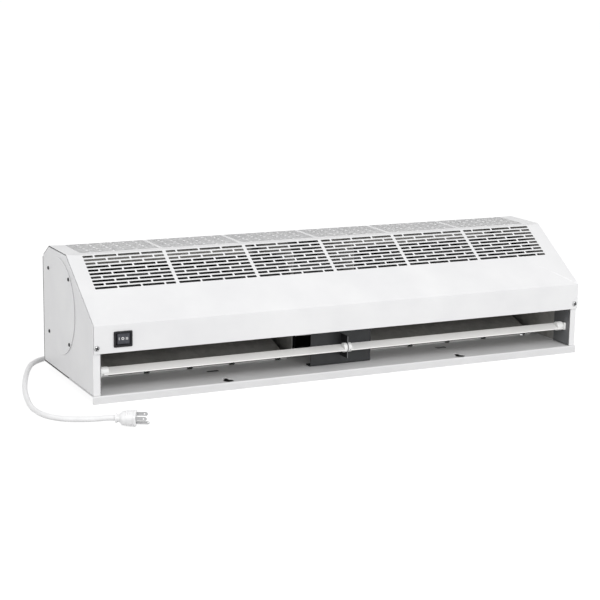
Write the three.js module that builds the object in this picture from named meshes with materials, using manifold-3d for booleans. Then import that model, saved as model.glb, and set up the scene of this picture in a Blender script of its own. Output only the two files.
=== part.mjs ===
// Air curtain, 36-inch class, lying on its wall side with the air outlet towards -Y.
// Millimetres, +Z up. X runs along the housing. The model is drawn with the cover's front face
// at y = 0 and the top of the base pan at z = 0, and one outer group carries it to the origin,
// which is the centre of its footprint at the level of the surface it lies on.

import * as THREE from 'three';
import { mergeVertices } from 'three/addons/utils/BufferGeometryUtils.js';
import Module from 'manifold-3d';

const wasm = await Module();
wasm.setup();

// ---------------------------------------------------------------- driving dimensions

// housing
const LENGTH = 914;
const DEPTH = 261;
const TOP_Z = 203.5;
const FRONT_H = 113.8;
const TOP_FLAT = 93;
const CHAMFER_DEPTH = 32.6;
const CHAMFER_DROP = 20;
const SHEET = 1.2;
const LIP_H = 13;
const REAR_LIP_SETBACK = 20;
const OUTLET_H = 68;
const END_FLANGE = 12.2;
const RETURN_DEPTH = 50;
const RETURN_RISE = 14;
const SEAT_GAP = 0.3;
const END_SETBACK = 1.8;

// intake grille
const SLOT_L = 37.3;
const SLOT_H = 5;
const SLOT_BRIDGE = 3;
const ROW_PITCH = 8.12;
const SLOT_ROWS = 10;
const SLOTS_PER_ROW = 3;
const PANELS = 6;
const PANEL_GAP = 5.9;
const SLOPE_FIRST_ROW = 7.7;
const TOP_FIRST_ROW = 12;

// rotor and its casings
const ROTOR_TO_BACK = 91.3;
const ROTOR_Z = 112.6;
const ROTOR_R = 62;
const WHEEL_DISC_T = 1.5;
const WHEEL_RING = 11;
const WHEEL_SIDES = 18;
const WHEEL_BAYS = 2;
const WHEEL_END_GAP = 5;
const BLADES = 12;
const BLADE_T = 1.2;
const BLADE_EDGE = 0.8;
const BLADE_LEAD = 14;
const SHAFT_R = 6;
const SHAFT_RUN = 0.08;
const SHAFT_SIDES = 12;
const SHAFT_HOLE_MARGIN = 2;
const HUB_R = 15;
const HUB_L = 22;
const SHAFT_GRIP = 17;
const SCROLL_SHEET = 1;
const SCROLL_END_GAP = 12;
const SEAM_TO_ROTOR = 63.7;
const RAMP_DEG = 17.5;
const SCROLL_TOP_R = 68;
const SCROLL_TOP_DEG = 48;
const NOTCH_R = 4.6;
const NOTCH_END = 17;
const NOTCH_STEP_END = 86;
const TONGUE_R = 67;
const TONGUE_RISE = 2.3;
const TONGUE_TURN_DEG = 24;
const TONGUE_FRONT_RISE = 6.5;
const CASING_INNER_X = 59;
const CASING_INNER_TO_ROTOR = 57.7;
const SIDE_INSET = 5;
const SIDE_FOOT = 11;
const SIDE_SHEET = 1;
const BEARING_R = 17;
const BEARING_L = 9;
const BEARING_FLANGE_T = 2;
const BEARING_BOSS_R = 12;
const BEARING_NOSE_R = 10;

// motor
const MOTOR_R = 42;
const MOTOR_SHOULDER_R = 37;
const MOTOR_L = 74;
const MOTOR_END_R = 24;
const MOTOR_END_L = 9;
const CRADLE_X = 38;
const CRADLE_T = 2;
const CRADLE_W = 64;
const RING_W = 5;
const RING_L = 7;
const YOKE_RIM = 5;
const MOTOR_SIDES = 18;

// motor shield and vane tab
const SHIELD_W = 115;
const SHIELD_Y = 41;
const SHIELD_T = 1.5;
const SHIELD_H = 108;
const SHIELD_FOOT = 16;
const TAB_FRONT_Y = 16;
const TAB_LOW_Z = 15.5;
const TAB_HIGH_Z = 54;

// air vane
const VANE_Y = 20.5;
const VANE_Z = 34;
const VANE_HALF = 11.5;
const VANE_T = 2.4;
const VANE_REST_DEG = 17;
const VANE_END_GAP = 8;
const VANE_PIN_R = 2.2;
const PIN_RUN = 0.2;
const PIN_SIDES = 10;
const CLIP_SIDES = 14;
const CLIP_W = 9;
const CLIP_R = 8;
const CLIP_DISC_X = 3.5;
const CENTRE_JAW = 4;
const CLIP_WALL = 2.6;
const PIN_BLOCK_H = 14;
const PIN_BLOCK_D = 9;
const PIN_BLOCK_NOSE = 6;
const PIN_BLOCK_NOSE_H = 10;

// access covers in the end plates
const DISC_R = 81.2;
const DISC_T = 1.2;
const ACCESS_R = 68;
const DISC_SCREW_SPACING = 108;

// fasteners
const SCREW_R = 2;
const SCREW_HEAD_R = 4;
const SCREW_HEAD_H = 2.2;
const SCREW_L = 7;
const DISC_SCREW_HEAD_R = 3.2;
const DISC_SCREW_HEAD_H = 1.5;
const DISC_SCREW_L = 5;
const SCREW_CLEARANCE = 0.3;
const SCREW_TOP_SHARE = 0.75;
const COVER_SCREW_EDGE = 6.8;
const COVER_SCREW_Z = 77.5;

// switch
const SWITCH_TO_END = 50;
const SWITCH_Z = 89.5;
const BEZEL_W = 30.8;
const BEZEL_H = 25.6;
const BEZEL_PROUD = 2;
const BEZEL_WALL = 1.6;
const SWITCH_BODY_D = 20;
const CUTOUT_MARGIN = 1.9;
const ROCKER_CLEARANCE = 0.5;
const ROCKER_SIDE_GAP = 1;
const ROCKER_END_Y = -0.6;
const ROCKER_DISH = 2.2;
const ROCKER_KEEL = 5;
const ROCKER_KEEL_W = 11;
const ROCKER_PIN_REACH = 0.6;
const ROCKER_PIN_Y = 4;
const ROCKER_PIN_R = 1.2;
const SWITCH_TAB_PITCH = 7.5;

// wall mounting holes and slots in the base pan
const KEYHOLE_X = 221;
const KEYHOLE_FRONT_Y = 13;
const KEYHOLE_TO_BACK = 35;
const KEYHOLE_R = 9;
const KEYHOLE_SLOT_R = 4;
const KEYHOLE_SLOT_L = 14;
const BASE_SLOT_L = 20.5;
const BASE_SLOT_W = 4.4;
const BASE_SLOT_Y = 79;

// capacitor and terminal block
const CAPACITOR = new THREE.Vector3(46, 24, 32);
const CAPACITOR_PLACE = new THREE.Vector3(26, 74, 0);
const CAPACITOR_CORNER = 5;
const TERMINAL = new THREE.Vector3(38, 15, 15);
const TERMINAL_WELL_R = 3.5;
const TERMINAL_WELL_D = 6;
const TERMINAL_POLES = 3;
const TERMINAL_TO_BACK = 17;
const TERMINAL_PLACE = new THREE.Vector3(-270, DEPTH - TERMINAL_TO_BACK, 0);
const TERMINAL_TAB_W = 6.3;
const TERMINAL_TAB_T = 0.8;
const TERMINAL_TAB_L = 7;

// mains lead
const CORD_D = 8.6;
const CORD_SIDES = 8;
const LEAD_IN_STEPS = 4;
const LEAD_OUT_STEPS = 27;
const COIL_SIDES = 24;
const COIL_CORNER = 3;
const COIL_COLUMNS = 2;
const COIL_LAYERS = 2;
const COIL_MEAN_R = 47.3;
const GLAND_X = -330;
const GLAND_Z = 22;
const GLAND_R = 9;
const GLAND_NECK_R = 7;
const GLAND_FLANGE_T = 2.5;
const GLAND_TAIL_R = 7;
const GLAND_NUT_R = 8;
const GLAND_END_R = 5.1;
const GLAND_TAIL = 28;
// fall of the cord behind the gland, as [distance from the gland's end, height from its middle]
const LEAD_IN = [[0, 0], [10, -0.6], [24, -5], [38, -13], [50, -19]];
const COIL_EXIT = 22;
// middle of the cord from the coil to the plug, as [x, y, height above its rest on the floor]
const LEAD_OUT = [
  [-345, 312, 0],
  [-385, 312, 0],
  [-418, 310.5, 0],
  [-447, 301, 0],
  [-471, 279, 0],
  [-490, 243, 0],
  [-507, 199, 0],
  [-520, 160, 0],
  [-531, 124, 0],
  [-540, 88, 0],
  [-547, 53, 0],
  [-552, 22, 0],
  [-553, -8, 0],
  [-548, -38, 0],
  [-533, -66, 0.5],
  [-509, -90, 2.7],
  [-490, -107, 5.6],
];
const PLUG_FACE = new THREE.Vector3(-436.6, -138.8, 13.1);
const PLUG_HEADING_DEG = -28;
const PLUG_ROLL_DEG = 20;
const PLUG_L = 31;
const PLUG_W = 24;
const PLUG_H = 21.5;
const PLUG_RIM = 2;
const PLUG_BODY_L = 19.5;
const PLUG_TAPER_L = 6;
const PLUG_WAIST_SHARE = 0.94;
const PLUG_CORNER = 5;
const PLUG_NECK_R = 6;
const PLUG_COLLAR_R = 7.5;
const PLUG_COLLAR_T = 2.4;
const PRONG_L = 17;
const PRONG_W = 6.35;
const PRONG_T = 1.5;
const PRONG_NOSE = 1.6;
const PRONG_SPACING = 12.7;
const PRONG_RISE = 4;
const GROUND_DROP = 11.9;
const GROUND_R = 2.4;
const GROUND_EXTRA = 3;
const GROUND_TIP_R = 1.7;
const GROUND_TIP_L = 0.7;

// ---------------------------------------------------------------- sizes that follow from them

const HALF = LENGTH / 2;
const FLOOR_Z = -LIP_H;
const FRONT_PROUD = SCREW_HEAD_H + SEAT_GAP;
const MIDDLE_Y = (DEPTH - FRONT_PROUD) / 2;
const CHAMFER_Y = DEPTH - CHAMFER_DEPTH;
const CHAMFER_Z = TOP_Z - CHAMFER_DROP;
const END_OUTER_X = HALF - END_SETBACK;
const OPENING_X = END_OUTER_X - END_FLANGE;
const SLOPE_TOP_Y = DEPTH - CHAMFER_DEPTH - TOP_FLAT;
const ROTOR_Y = DEPTH - ROTOR_TO_BACK;
const SEAM_Y = ROTOR_Y - SEAM_TO_ROTOR;
const CASING_INNER_Y = ROTOR_Y - CASING_INNER_TO_ROTOR;
const KEYHOLE_REAR_Y = DEPTH - KEYHOLE_TO_BACK;
const VANE_END_X = OPENING_X - VANE_END_GAP;
const COVER_SCREW_X = HALF - COVER_SCREW_EDGE;
const SWITCH_X = SWITCH_TO_END - HALF;
const CASING_OUTER_X = OPENING_X;
const SCROLL_INNER_X = CASING_INNER_X + SCROLL_END_GAP;
const SCROLL_OUTER_X = CASING_OUTER_X - SCROLL_END_GAP;
const CORD_R = CORD_D / 2;
const COIL_X = GLAND_X + COIL_MEAN_R + CORD_R;
const COIL_Y = 363.6;
const DISC_OUTER_X = END_OUTER_X + SEAT_GAP + DISC_T;
const SLOT_SHORT = (SLOT_L - SLOT_BRIDGE) / 2;
const PANEL_L = SLOTS_PER_ROW * (SLOT_L + SLOT_BRIDGE) + SLOT_SHORT;
const RAD = Math.PI / 180;
const MERGE = 1e-4;

// ---------------------------------------------------------------- materials

const paint = new THREE.MeshStandardMaterial({ color: 0xf2f2f3, roughness: 0.45, metalness: 0 });
const zinc = new THREE.MeshStandardMaterial({ color: 0x55534f, roughness: 0.5, metalness: 0.6 });
const darkSteel = new THREE.MeshStandardMaterial({ color: 0x2c2e30, roughness: 0.55, metalness: 0.3 });
const nickel = new THREE.MeshStandardMaterial({ color: 0xb8b9bb, roughness: 0.3, metalness: 1 });
const blackPlastic = new THREE.MeshStandardMaterial({ color: 0x17181a, roughness: 0.4, metalness: 0 });
const whitePlastic = new THREE.MeshStandardMaterial({ color: 0xeeeeec, roughness: 0.4, metalness: 0 });
const vinyl = new THREE.MeshStandardMaterial({ color: 0xeceded, roughness: 0.45, metalness: 0 });
const rubber = new THREE.MeshStandardMaterial({ color: 0x1b1b1b, roughness: 0.8, metalness: 0 });

// ---------------------------------------------------------------- solids

/** A closed geometry as a solid that can be joined and cut. */
function solid(geometry) {
  const bare = geometry.index ? geometry.toNonIndexed() : geometry.clone();
  bare.deleteAttribute('normal');
  bare.deleteAttribute('uv');
  const merged = mergeVertices(bare, MERGE);
  const at = (i) => new THREE.Vector3().fromBufferAttribute(merged.attributes.position, i);
  const triVerts = [];
  let volume = 0;
  for (let i = 0; i < merged.index.count; i += 3) {
    const [a, b, c] = merged.index.array.slice(i, i + 3);
    if (a !== b && b !== c && c !== a) {
      triVerts.push(a, b, c);
      volume += at(a).dot(at(b).cross(at(c)));
    }
  }
  if (volume < 0) triVerts.reverse();
  return new wasm.Manifold(new wasm.Mesh({
    numProp: 3,
    vertProperties: new Float32Array(merged.attributes.position.array),
    triVerts: new Uint32Array(triVerts),
  }));
}

/** The geometry of a solid. */
function surface(body) {
  const mesh = body.getMesh();
  const geometry = new THREE.BufferGeometry();
  geometry.setAttribute('position', new THREE.BufferAttribute(mesh.vertProperties, 3));
  geometry.setIndex(new THREE.BufferAttribute(mesh.triVerts, 1));
  geometry.computeVertexNormals();
  return geometry;
}

function join(first, ...rest) {
  return rest.reduce((sum, body) => sum.add(body), first);
}

function cut(body, ...tools) {
  return tools.reduce((left, tool) => left.subtract(tool), body);
}

/** A named mesh of a solid or a geometry. */
function part(name, shape, material) {
  const geometry = shape.isBufferGeometry ? shape : surface(shape);
  const mesh = new THREE.Mesh(geometry, material);
  mesh.name = name;
  return mesh;
}

function p(u, v) {
  return new THREE.Vector2(u, v);
}

function polygon(points, holes = []) {
  const shape = new THREE.Shape(points);
  shape.holes = holes.map((hole) => new THREE.Path(hole));
  return shape;
}

function circle(u, v, radius, sides) {
  const points = [];
  for (let i = 0; i < sides; i += 1) {
    const angle = ((i + 0.5) / sides) * 2 * Math.PI;
    points.push(p(u + radius * Math.cos(angle), v + radius * Math.sin(angle)));
  }
  return points;
}

function extrude(shape, depth) {
  return new THREE.ExtrudeGeometry(shape, { depth, bevelEnabled: false, curveSegments: 8 });
}

/** An outline in (y, z) drawn along X from x0 to x1. */
function prismX(shape, x0, x1) {
  const basis = new THREE.Matrix4().makeBasis(
    new THREE.Vector3(0, 1, 0),
    new THREE.Vector3(0, 0, 1),
    new THREE.Vector3(1, 0, 0),
  );
  basis.setPosition(x0, 0, 0);
  return solid(extrude(shape, x1 - x0).applyMatrix4(basis));
}

/** An outline in (x, z) drawn along Y from y0 to y1. */
function prismY(shape, y0, y1) {
  const basis = new THREE.Matrix4().makeBasis(
    new THREE.Vector3(1, 0, 0),
    new THREE.Vector3(0, 0, 1),
    new THREE.Vector3(0, -1, 0),
  );
  basis.setPosition(0, y1, 0);
  return solid(extrude(shape, y1 - y0).applyMatrix4(basis));
}

/** An outline in (x, y) drawn along Z from z0 to z1. */
function prismZ(shape, z0, z1) {
  return solid(extrude(shape, z1 - z0).translate(0, 0, z0));
}

function box(x0, x1, y0, y1, z0, z1) {
  const geometry = new THREE.BoxGeometry(x1 - x0, y1 - y0, z1 - z0);
  return solid(geometry.translate((x0 + x1) / 2, (y0 + y1) / 2, (z0 + z1) / 2));
}

/** A round body about a line along X: profile points are (radius, x). */
function turnedX(profile, y, z, sides) {
  const geometry = new THREE.LatheGeometry(profile, sides);
  geometry.rotateZ(-Math.PI / 2);
  return solid(geometry.translate(0, y, z));
}

/** A round body about a line along Y: profile points are (radius, y). */
function turnedY(profile, x, z, sides) {
  return solid(new THREE.LatheGeometry(profile, sides).translate(x, 0, z));
}

/** Radius of a many-sided bore that clears a round shaft by the given gap. */
function boreRadius(shaft, gap, sides) {
  return (shaft + gap) / Math.cos(Math.PI / sides);
}

/** The corner of a bent line moved sideways by `distance`, to its left. */
function offsetCorner(path, i, distance) {
  const before = path[Math.max(i - 1, 0)];
  const after = path[Math.min(i + 1, path.length - 1)];
  const into = path[i].clone().sub(before);
  const out = after.clone().sub(path[i]);
  if (i === 0) into.copy(out);
  if (i === path.length - 1) out.copy(into);
  into.normalize();
  out.normalize();
  const left = p(-into.y - out.y, into.x + out.x).normalize();
  const stretch = distance / (left.x * -into.y + left.y * into.x);
  return path[i].clone().addScaledVector(left, stretch);
}

function offsetPath(path, distance) {
  return path.map((point, i) => offsetCorner(path, i, distance));
}

/** A closed outline moved inwards; its corners run counter-clockwise. */
function inset(outline, distance) {
  const count = outline.length;
  return outline.map((point, i) => {
    const around = [outline[(i + count - 1) % count], point, outline[(i + 1) % count]];
    return offsetCorner(around, 1, distance);
  });
}

/** The section of a folded sheet whose one face is the path and whose body lies to its left. */
function foldedSheet(path, thickness) {
  return polygon([...path, ...offsetPath(path, thickness).reverse()]);
}

function arc(cy, cz, radius, fromDeg, toDeg, steps) {
  const points = [];
  for (let i = 0; i <= steps; i += 1) {
    const angle = (fromDeg + ((toDeg - fromDeg) * i) / steps) * RAD;
    points.push(p(cy + radius * Math.cos(angle), cz + radius * Math.sin(angle)));
  }
  return points;
}

// ---------------------------------------------------------------- housing

/** Counter-clockwise outline of the housing seen from its left end, as (y, z). */
function housingOutline() {
  return [
    p(0, 0),
    p(DEPTH, 0),
    p(DEPTH, CHAMFER_Z),
    p(CHAMFER_Y, TOP_Z),
    p(SLOPE_TOP_Y, TOP_Z),
    p(0, FRONT_H),
  ];
}

/** The housing outline moved inwards on every side but the bottom, which stands at `bottom`. */
function insideOutline(distance, bottom) {
  const outline = inset(housingOutline(), distance);
  outline[0].y = bottom;
  outline[1].y = bottom;
  return outline;
}

function keyhole(x, y) {
  const round = prismZ(polygon(circle(x, y, KEYHOLE_R, 12)), -LIP_H, LIP_H);
  const neck = prismZ(polygon(circle(x, y + KEYHOLE_SLOT_L, KEYHOLE_SLOT_R, 8)), -LIP_H, LIP_H);
  const way = box(x - KEYHOLE_SLOT_R, x + KEYHOLE_SLOT_R, y, y + KEYHOLE_SLOT_L, -LIP_H, LIP_H);
  return join(round, neck, way);
}

function baseSlot(x) {
  const halfL = BASE_SLOT_L / 2;
  const halfW = BASE_SLOT_W / 2;
  return box(x - halfL, x + halfL, BASE_SLOT_Y - halfW, BASE_SLOT_Y + halfW, -LIP_H, LIP_H);
}

/** Folded tray: plate, full-length front lip and a rear lip that stops short of the ends. */
function basePan() {
  const rearX = HALF - REAR_LIP_SETBACK;
  const plate = box(-HALF, HALF, 0, DEPTH, -SHEET, 0);
  const frontLip = box(-HALF, HALF, 0, SHEET, -LIP_H, 0);
  const rearLip = box(-rearX, rearX, DEPTH - SHEET, DEPTH, -LIP_H, 0);
  const openings = [-KEYHOLE_X, KEYHOLE_X].flatMap((x) => [
    keyhole(x, KEYHOLE_FRONT_Y),
    keyhole(x, KEYHOLE_REAR_Y),
    baseSlot(x),
  ]);
  return part('base_pan', cut(join(plate, frontLip, rearLip), ...openings), paint);
}

/** Upright back sheet, joggled inwards at its top to run up under the cover's chamfer. */
function backPanel() {
  const step = SHEET + SEAT_GAP;
  const wallTop = CHAMFER_Z - step - SEAT_GAP;
  const up = p(-CHAMFER_DEPTH, CHAMFER_DROP).normalize();
  const joggle = inset(housingOutline(), step)[2].addScaledVector(up, 2 * step);
  const fold = [
    p(DEPTH, wallTop - step),
    p(DEPTH, wallTop),
    joggle,
    joggle.clone().addScaledVector(up, SIDE_FOOT),
  ];
  const flangeX = OPENING_X - SEAT_GAP;
  const wall = box(-HALF, HALF, DEPTH - SHEET, DEPTH, SEAT_GAP, wallTop);
  const flange = prismX(foldedSheet(fold, SHEET), -flangeX, flangeX);
  const neck = circle(GLAND_X, GLAND_Z, GLAND_NECK_R + SEAT_GAP, 16);
  const hole = prismY(polygon(neck), DEPTH - 2 * SHEET, DEPTH + SHEET);
  return part('back_panel', cut(join(wall, flange), hole), paint);
}

/** The four corners where an access cover is screwed on, as (y, z). */
function discScrewPlaces() {
  const half = DISC_SCREW_SPACING / 2;
  return [p(-half, half), p(half, half), p(-half, -half), p(half, -half)]
    .map((offset) => p(ROTOR_Y + offset.x, ROTOR_Z + offset.y));
}

function discScrewHoles() {
  return discScrewPlaces().map((place) => prismX(
    polygon(circle(place.x, place.y, SCREW_R + SCREW_CLEARANCE, 6)),
    END_OUTER_X - 2 * SHEET,
    DISC_OUTER_X + DISC_T,
  ));
}

function coverScrewHole(side) {
  return prismY(
    polygon(circle(side * COVER_SCREW_X, COVER_SCREW_Z, SCREW_R + SCREW_CLEARANCE, 8)),
    -SHEET,
    3 * SHEET,
  );
}

/** Tray-shaped end: plate, rim all round, and the return that frames the outlet's side. */
function endPlate(name, side) {
  const outline = insideOutline(SHEET + SEAT_GAP, SEAT_GAP);
  const access = circle(ROTOR_Y, ROTOR_Z, ACCESS_R, 24);
  const plate = prismX(polygon(outline, [access]), END_OUTER_X - SHEET, END_OUTER_X);
  const rim = prismX(polygon(outline, [inset(outline, SHEET)]), OPENING_X, END_OUTER_X);
  const wallTop = OUTLET_H + RETURN_RISE;
  const wall = box(OPENING_X, OPENING_X + SHEET, outline[0].x, RETURN_DEPTH, SEAT_GAP, wallTop);
  const body = cut(join(plate, rim, wall), ...discScrewHoles(), coverScrewHole(1));
  return part(name, onSide(body, side), paint);
}

/** A body drawn for the right end, mirrored where the left end needs it. */
function onSide(body, side) {
  return side < 0 ? body.mirror([1, 0, 0]) : body;
}

/** Round access cover, screwed on the outside of an end plate. */
function accessCover(name, side) {
  const outline = polygon(circle(ROTOR_Y, ROTOR_Z, DISC_R, 40));
  const disc = prismX(outline, END_OUTER_X + SEAT_GAP, DISC_OUTER_X);
  return part(name, onSide(cut(disc, ...discScrewHoles()), side), paint);
}

/** Profile (radius, position) of a pan-head screw whose head sits on `seat`, pointing to +. */
function screwProfile(seat, headR, headH, length) {
  return [
    p(0, seat - headH),
    p(headR * SCREW_TOP_SHARE, seat - headH),
    p(headR, seat),
    p(SCREW_R, seat),
    p(SCREW_R, seat + length),
    p(0, seat + length),
  ];
}

function coverScrew(name, side) {
  const profile = screwProfile(-SEAT_GAP, SCREW_HEAD_R, SCREW_HEAD_H, SCREW_L);
  return part(name, turnedY(profile, side * COVER_SCREW_X, COVER_SCREW_Z, 10), nickel);
}

function discScrew(name, side, place) {
  const seat = -(DISC_OUTER_X + SEAT_GAP);
  const profile = screwProfile(seat, DISC_SCREW_HEAD_R, DISC_SCREW_HEAD_H, DISC_SCREW_L);
  return part(name, onSide(turnedX(profile, place.x, place.y, 6), -side), darkSteel);
}

// ---------------------------------------------------------------- cover and its grille

/** The slots of one row of one panel, as [from, to] along X; a short slot leads or ends it. */
function rowSlots(start, shortFirst) {
  const slots = [];
  let x = start;
  if (shortFirst) {
    slots.push([x, x + SLOT_SHORT]);
    x += SLOT_SHORT + SLOT_BRIDGE;
  }
  for (let i = 0; i < SLOTS_PER_ROW; i += 1) {
    slots.push([x, x + SLOT_L]);
    x += SLOT_L + SLOT_BRIDGE;
  }
  if (!shortFirst) slots.push([x, x + SLOT_SHORT]);
  return slots;
}

/** Slot punches for one face, which leaves the front fold at `fold` in direction `along`. */
function grille(fold, along, firstRow) {
  const tilt = Math.atan2(along.y, along.x);
  const punches = [];
  for (let panel = 0; panel < PANELS; panel += 1) {
    const start = (panel - PANELS / 2) * (PANEL_L + PANEL_GAP) + PANEL_GAP / 2;
    for (let row = 0; row < SLOT_ROWS; row += 1) {
      const centre = fold.clone().addScaledVector(along, firstRow + row * ROW_PITCH);
      for (const [from, to] of rowSlots(start, row % 2 === 0)) {
        const punch = new THREE.BoxGeometry(to - from, SLOT_H, 4 * SHEET);
        punch.rotateX(tilt);
        punch.translate((from + to) / 2, centre.x, centre.y);
        punches.push(solid(punch));
      }
    }
  }
  return join(...punches);
}

/** Front strip, slope, top and rear chamfer in one folded sheet, punched with both grilles. */
function cover() {
  const [, , back, topBack, topFront, bend] = housingOutline();
  const lower = p(0, OUTLET_H);
  const sheet = prismX(foldedSheet([back, topBack, topFront, bend, lower], SHEET), -HALF, HALF);
  const downSlope = bend.clone().sub(topFront).normalize();
  const punched = cut(
    sheet,
    grille(topFront, downSlope, SLOPE_FIRST_ROW),
    grille(topFront, p(1, 0), TOP_FIRST_ROW),
    prismY(switchOutline(-CUTOUT_MARGIN), -SHEET, 2 * SHEET),
    coverScrewHole(-1),
    coverScrewHole(1),
  );
  return part('cover', punched, paint);
}

// ---------------------------------------------------------------- rotor

/** One blade's section: a thin strip that leans forward from the ring's bore to its rim. */
function bladeSection(turn) {
  const ends = [[ROTOR_R - WHEEL_RING, 0], [ROTOR_R - BLADE_EDGE, BLADE_LEAD]];
  const path = ends.map(([radius, lead]) => {
    const angle = turn + lead * RAD;
    return p(ROTOR_Y + radius * Math.cos(angle), ROTOR_Z + radius * Math.sin(angle));
  });
  return foldedSheet(path, BLADE_T);
}

/** Cross-flow wheel: solid end discs with hubs, rings between bays, blades right through. */
function wheel(name, side) {
  const from = CASING_INNER_X + WHEEL_END_GAP;
  const to = CASING_OUTER_X - WHEEL_END_GAP;
  const bore = boreRadius(SHAFT_R, SEAT_GAP, SHAFT_SIDES);
  const disc = (x0, x1, hole) => turnedX(
    [p(hole, x0), p(ROTOR_R, x0), p(ROTOR_R, x1), p(hole, x1), p(hole, x0)],
    ROTOR_Y,
    ROTOR_Z,
    WHEEL_SIDES,
  );
  const hub = (x0, x1) => turnedX(
    [p(bore, x0), p(HUB_R, x0), p(HUB_R, x1), p(bore, x1), p(bore, x0)],
    ROTOR_Y,
    ROTOR_Z,
    SHAFT_SIDES,
  );
  const pieces = [
    disc(from, from + WHEEL_DISC_T, HUB_R - 1),
    hub(from, from + HUB_L),
    disc(to - WHEEL_DISC_T, to, HUB_R - 1),
    hub(to - HUB_L, to),
  ];
  for (let bay = 1; bay < WHEEL_BAYS; bay += 1) {
    const middle = from + ((to - from) * bay) / WHEEL_BAYS;
    const ringBore = ROTOR_R - WHEEL_RING - 1;
    pieces.push(disc(middle - WHEEL_DISC_T / 2, middle + WHEEL_DISC_T / 2, ringBore));
  }
  for (let i = 0; i < BLADES; i += 1) {
    const section = bladeSection((i / BLADES) * 2 * Math.PI);
    pieces.push(prismX(section, from + WHEEL_DISC_T / 2, to - WHEEL_DISC_T / 2));
  }
  return part(name, onSide(join(...pieces), side), darkSteel);
}

function shaft(name, x0, x1) {
  const profile = [p(0, x0), p(SHAFT_R, x0), p(SHAFT_R, x1), p(0, x1)];
  return part(name, turnedX(profile, ROTOR_Y, ROTOR_Z, SHAFT_SIDES), nickel);
}

/** Flanged bearing on the outer face of an outer casing side. */
function bearing(name, side) {
  const seat = CASING_OUTER_X + SIDE_SHEET + SEAT_GAP;
  const bore = boreRadius(SHAFT_R, SHAFT_RUN, SHAFT_SIDES);
  const profile = [
    p(bore, seat),
    p(BEARING_R, seat),
    p(BEARING_R, seat + BEARING_FLANGE_T),
    p(BEARING_BOSS_R, seat + BEARING_FLANGE_T),
    p(BEARING_NOSE_R, seat + BEARING_L),
    p(bore, seat + BEARING_L),
    p(bore, seat),
  ];
  return part(name, onSide(turnedX(profile, ROTOR_Y, ROTOR_Z, SHAFT_SIDES), side), darkSteel);
}

// ---------------------------------------------------------------- casings

/** Inner face of the scroll as (y, z), from its flange at the back down to the seam. */
function scrollPath() {
  const seam = p(SEAM_Y, SEAT_GAP + SCROLL_SHEET);
  const ramp = RAMP_DEG * RAD;
  const reach = Math.cos(ramp) * (ROTOR_Z - seam.y) - Math.sin(ramp) * (ROTOR_Y - seam.x);
  const rampDeg = RAMP_DEG - 90;
  const steps = 8;
  const spiral = [];
  for (let i = 0; i <= steps; i += 1) {
    const share = i / steps;
    const angle = (SCROLL_TOP_DEG + (rampDeg - SCROLL_TOP_DEG) * share) * RAD;
    const radius = SCROLL_TOP_R + (reach - SCROLL_TOP_R) * share;
    spiral.push(p(ROTOR_Y + radius * Math.cos(angle), ROTOR_Z + radius * Math.sin(angle)));
  }
  const flangeY = DEPTH - SHEET - SEAT_GAP - SCROLL_SHEET;
  const flange = [p(flangeY, spiral[0].y + SIDE_FOOT), p(flangeY, spiral[0].y)];
  return [...flange, ...spiral, seam];
}

/** Half-round notches along the seam, at distances from the scroll's ends. */
function seamNotches() {
  const length = SCROLL_OUTER_X - SCROLL_INNER_X;
  const inner = (length - 2 * (NOTCH_END + NOTCH_STEP_END)) / 2;
  const places = [
    NOTCH_END,
    NOTCH_END + NOTCH_STEP_END,
    NOTCH_END + NOTCH_STEP_END + inner,
    length - NOTCH_END - NOTCH_STEP_END,
    length - NOTCH_END,
  ];
  return places.map((place) => prismZ(
    polygon(circle(SCROLL_INNER_X + place, SEAM_Y, NOTCH_R, 8)),
    0,
    2 * NOTCH_R,
  ));
}

function scroll(name, side) {
  const sheet = prismX(foldedSheet(scrollPath(), SCROLL_SHEET), SCROLL_INNER_X, SCROLL_OUTER_X);
  return part(name, onSide(cut(sheet, ...seamNotches()), side), zinc);
}

/** Upper wall of the air throat, from behind the cover's lower edge to its nose at the wheel. */
function tongue(name, side) {
  const frontY = SHEET + SEAT_GAP;
  const roofZ = OUTLET_H + TONGUE_RISE;
  const noseAngle = Math.asin((roofZ - ROTOR_Z) / TONGUE_R) / RAD;
  const noseFrom = 180 - noseAngle;
  const nose = arc(ROTOR_Y, ROTOR_Z, TONGUE_R, noseFrom, noseFrom - TONGUE_TURN_DEG, 4);
  const path = [p(frontY, roofZ + TONGUE_FRONT_RISE), p(frontY, roofZ), ...nose];
  const from = CASING_INNER_X + SEAT_GAP;
  const to = CASING_OUTER_X - SEAT_GAP;
  return part(name, onSide(prismX(foldedSheet(path, SCROLL_SHEET), from, to), side), zinc);
}

/** Flat casing side: inner ones stand on a foot, outer ones stand in the end plate's rim. */
function casingSide(name, side, inner) {
  const x0 = inner ? CASING_INNER_X - SIDE_SHEET : CASING_OUTER_X;
  const frontY = inner ? CASING_INNER_Y : RETURN_DEPTH + SEAT_GAP;
  const bottom = inner ? SEAT_GAP : 2 * SEAT_GAP + SHEET;
  const outline = insideOutline(SIDE_INSET, bottom);
  const hole = circle(ROTOR_Y, ROTOR_Z, SHAFT_R + SHAFT_HOLE_MARGIN, 16);
  const plate = prismX(polygon(outline, [hole]), x0, x0 + SIDE_SHEET);
  const behind = box(x0, x0 + SIDE_SHEET, frontY, DEPTH, 0, TOP_Z);
  const trimmed = plate.intersect(behind);
  const foot = box(
    x0 - SIDE_FOOT,
    x0 + SIDE_SHEET,
    frontY + SIDE_FOOT,
    DEPTH - 2 * SIDE_FOOT,
    bottom,
    bottom + SIDE_SHEET,
  );
  const body = inner ? join(trimmed, foot) : trimmed;
  return part(name, onSide(body, side), zinc);
}

// ---------------------------------------------------------------- motor and its shield

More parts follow.
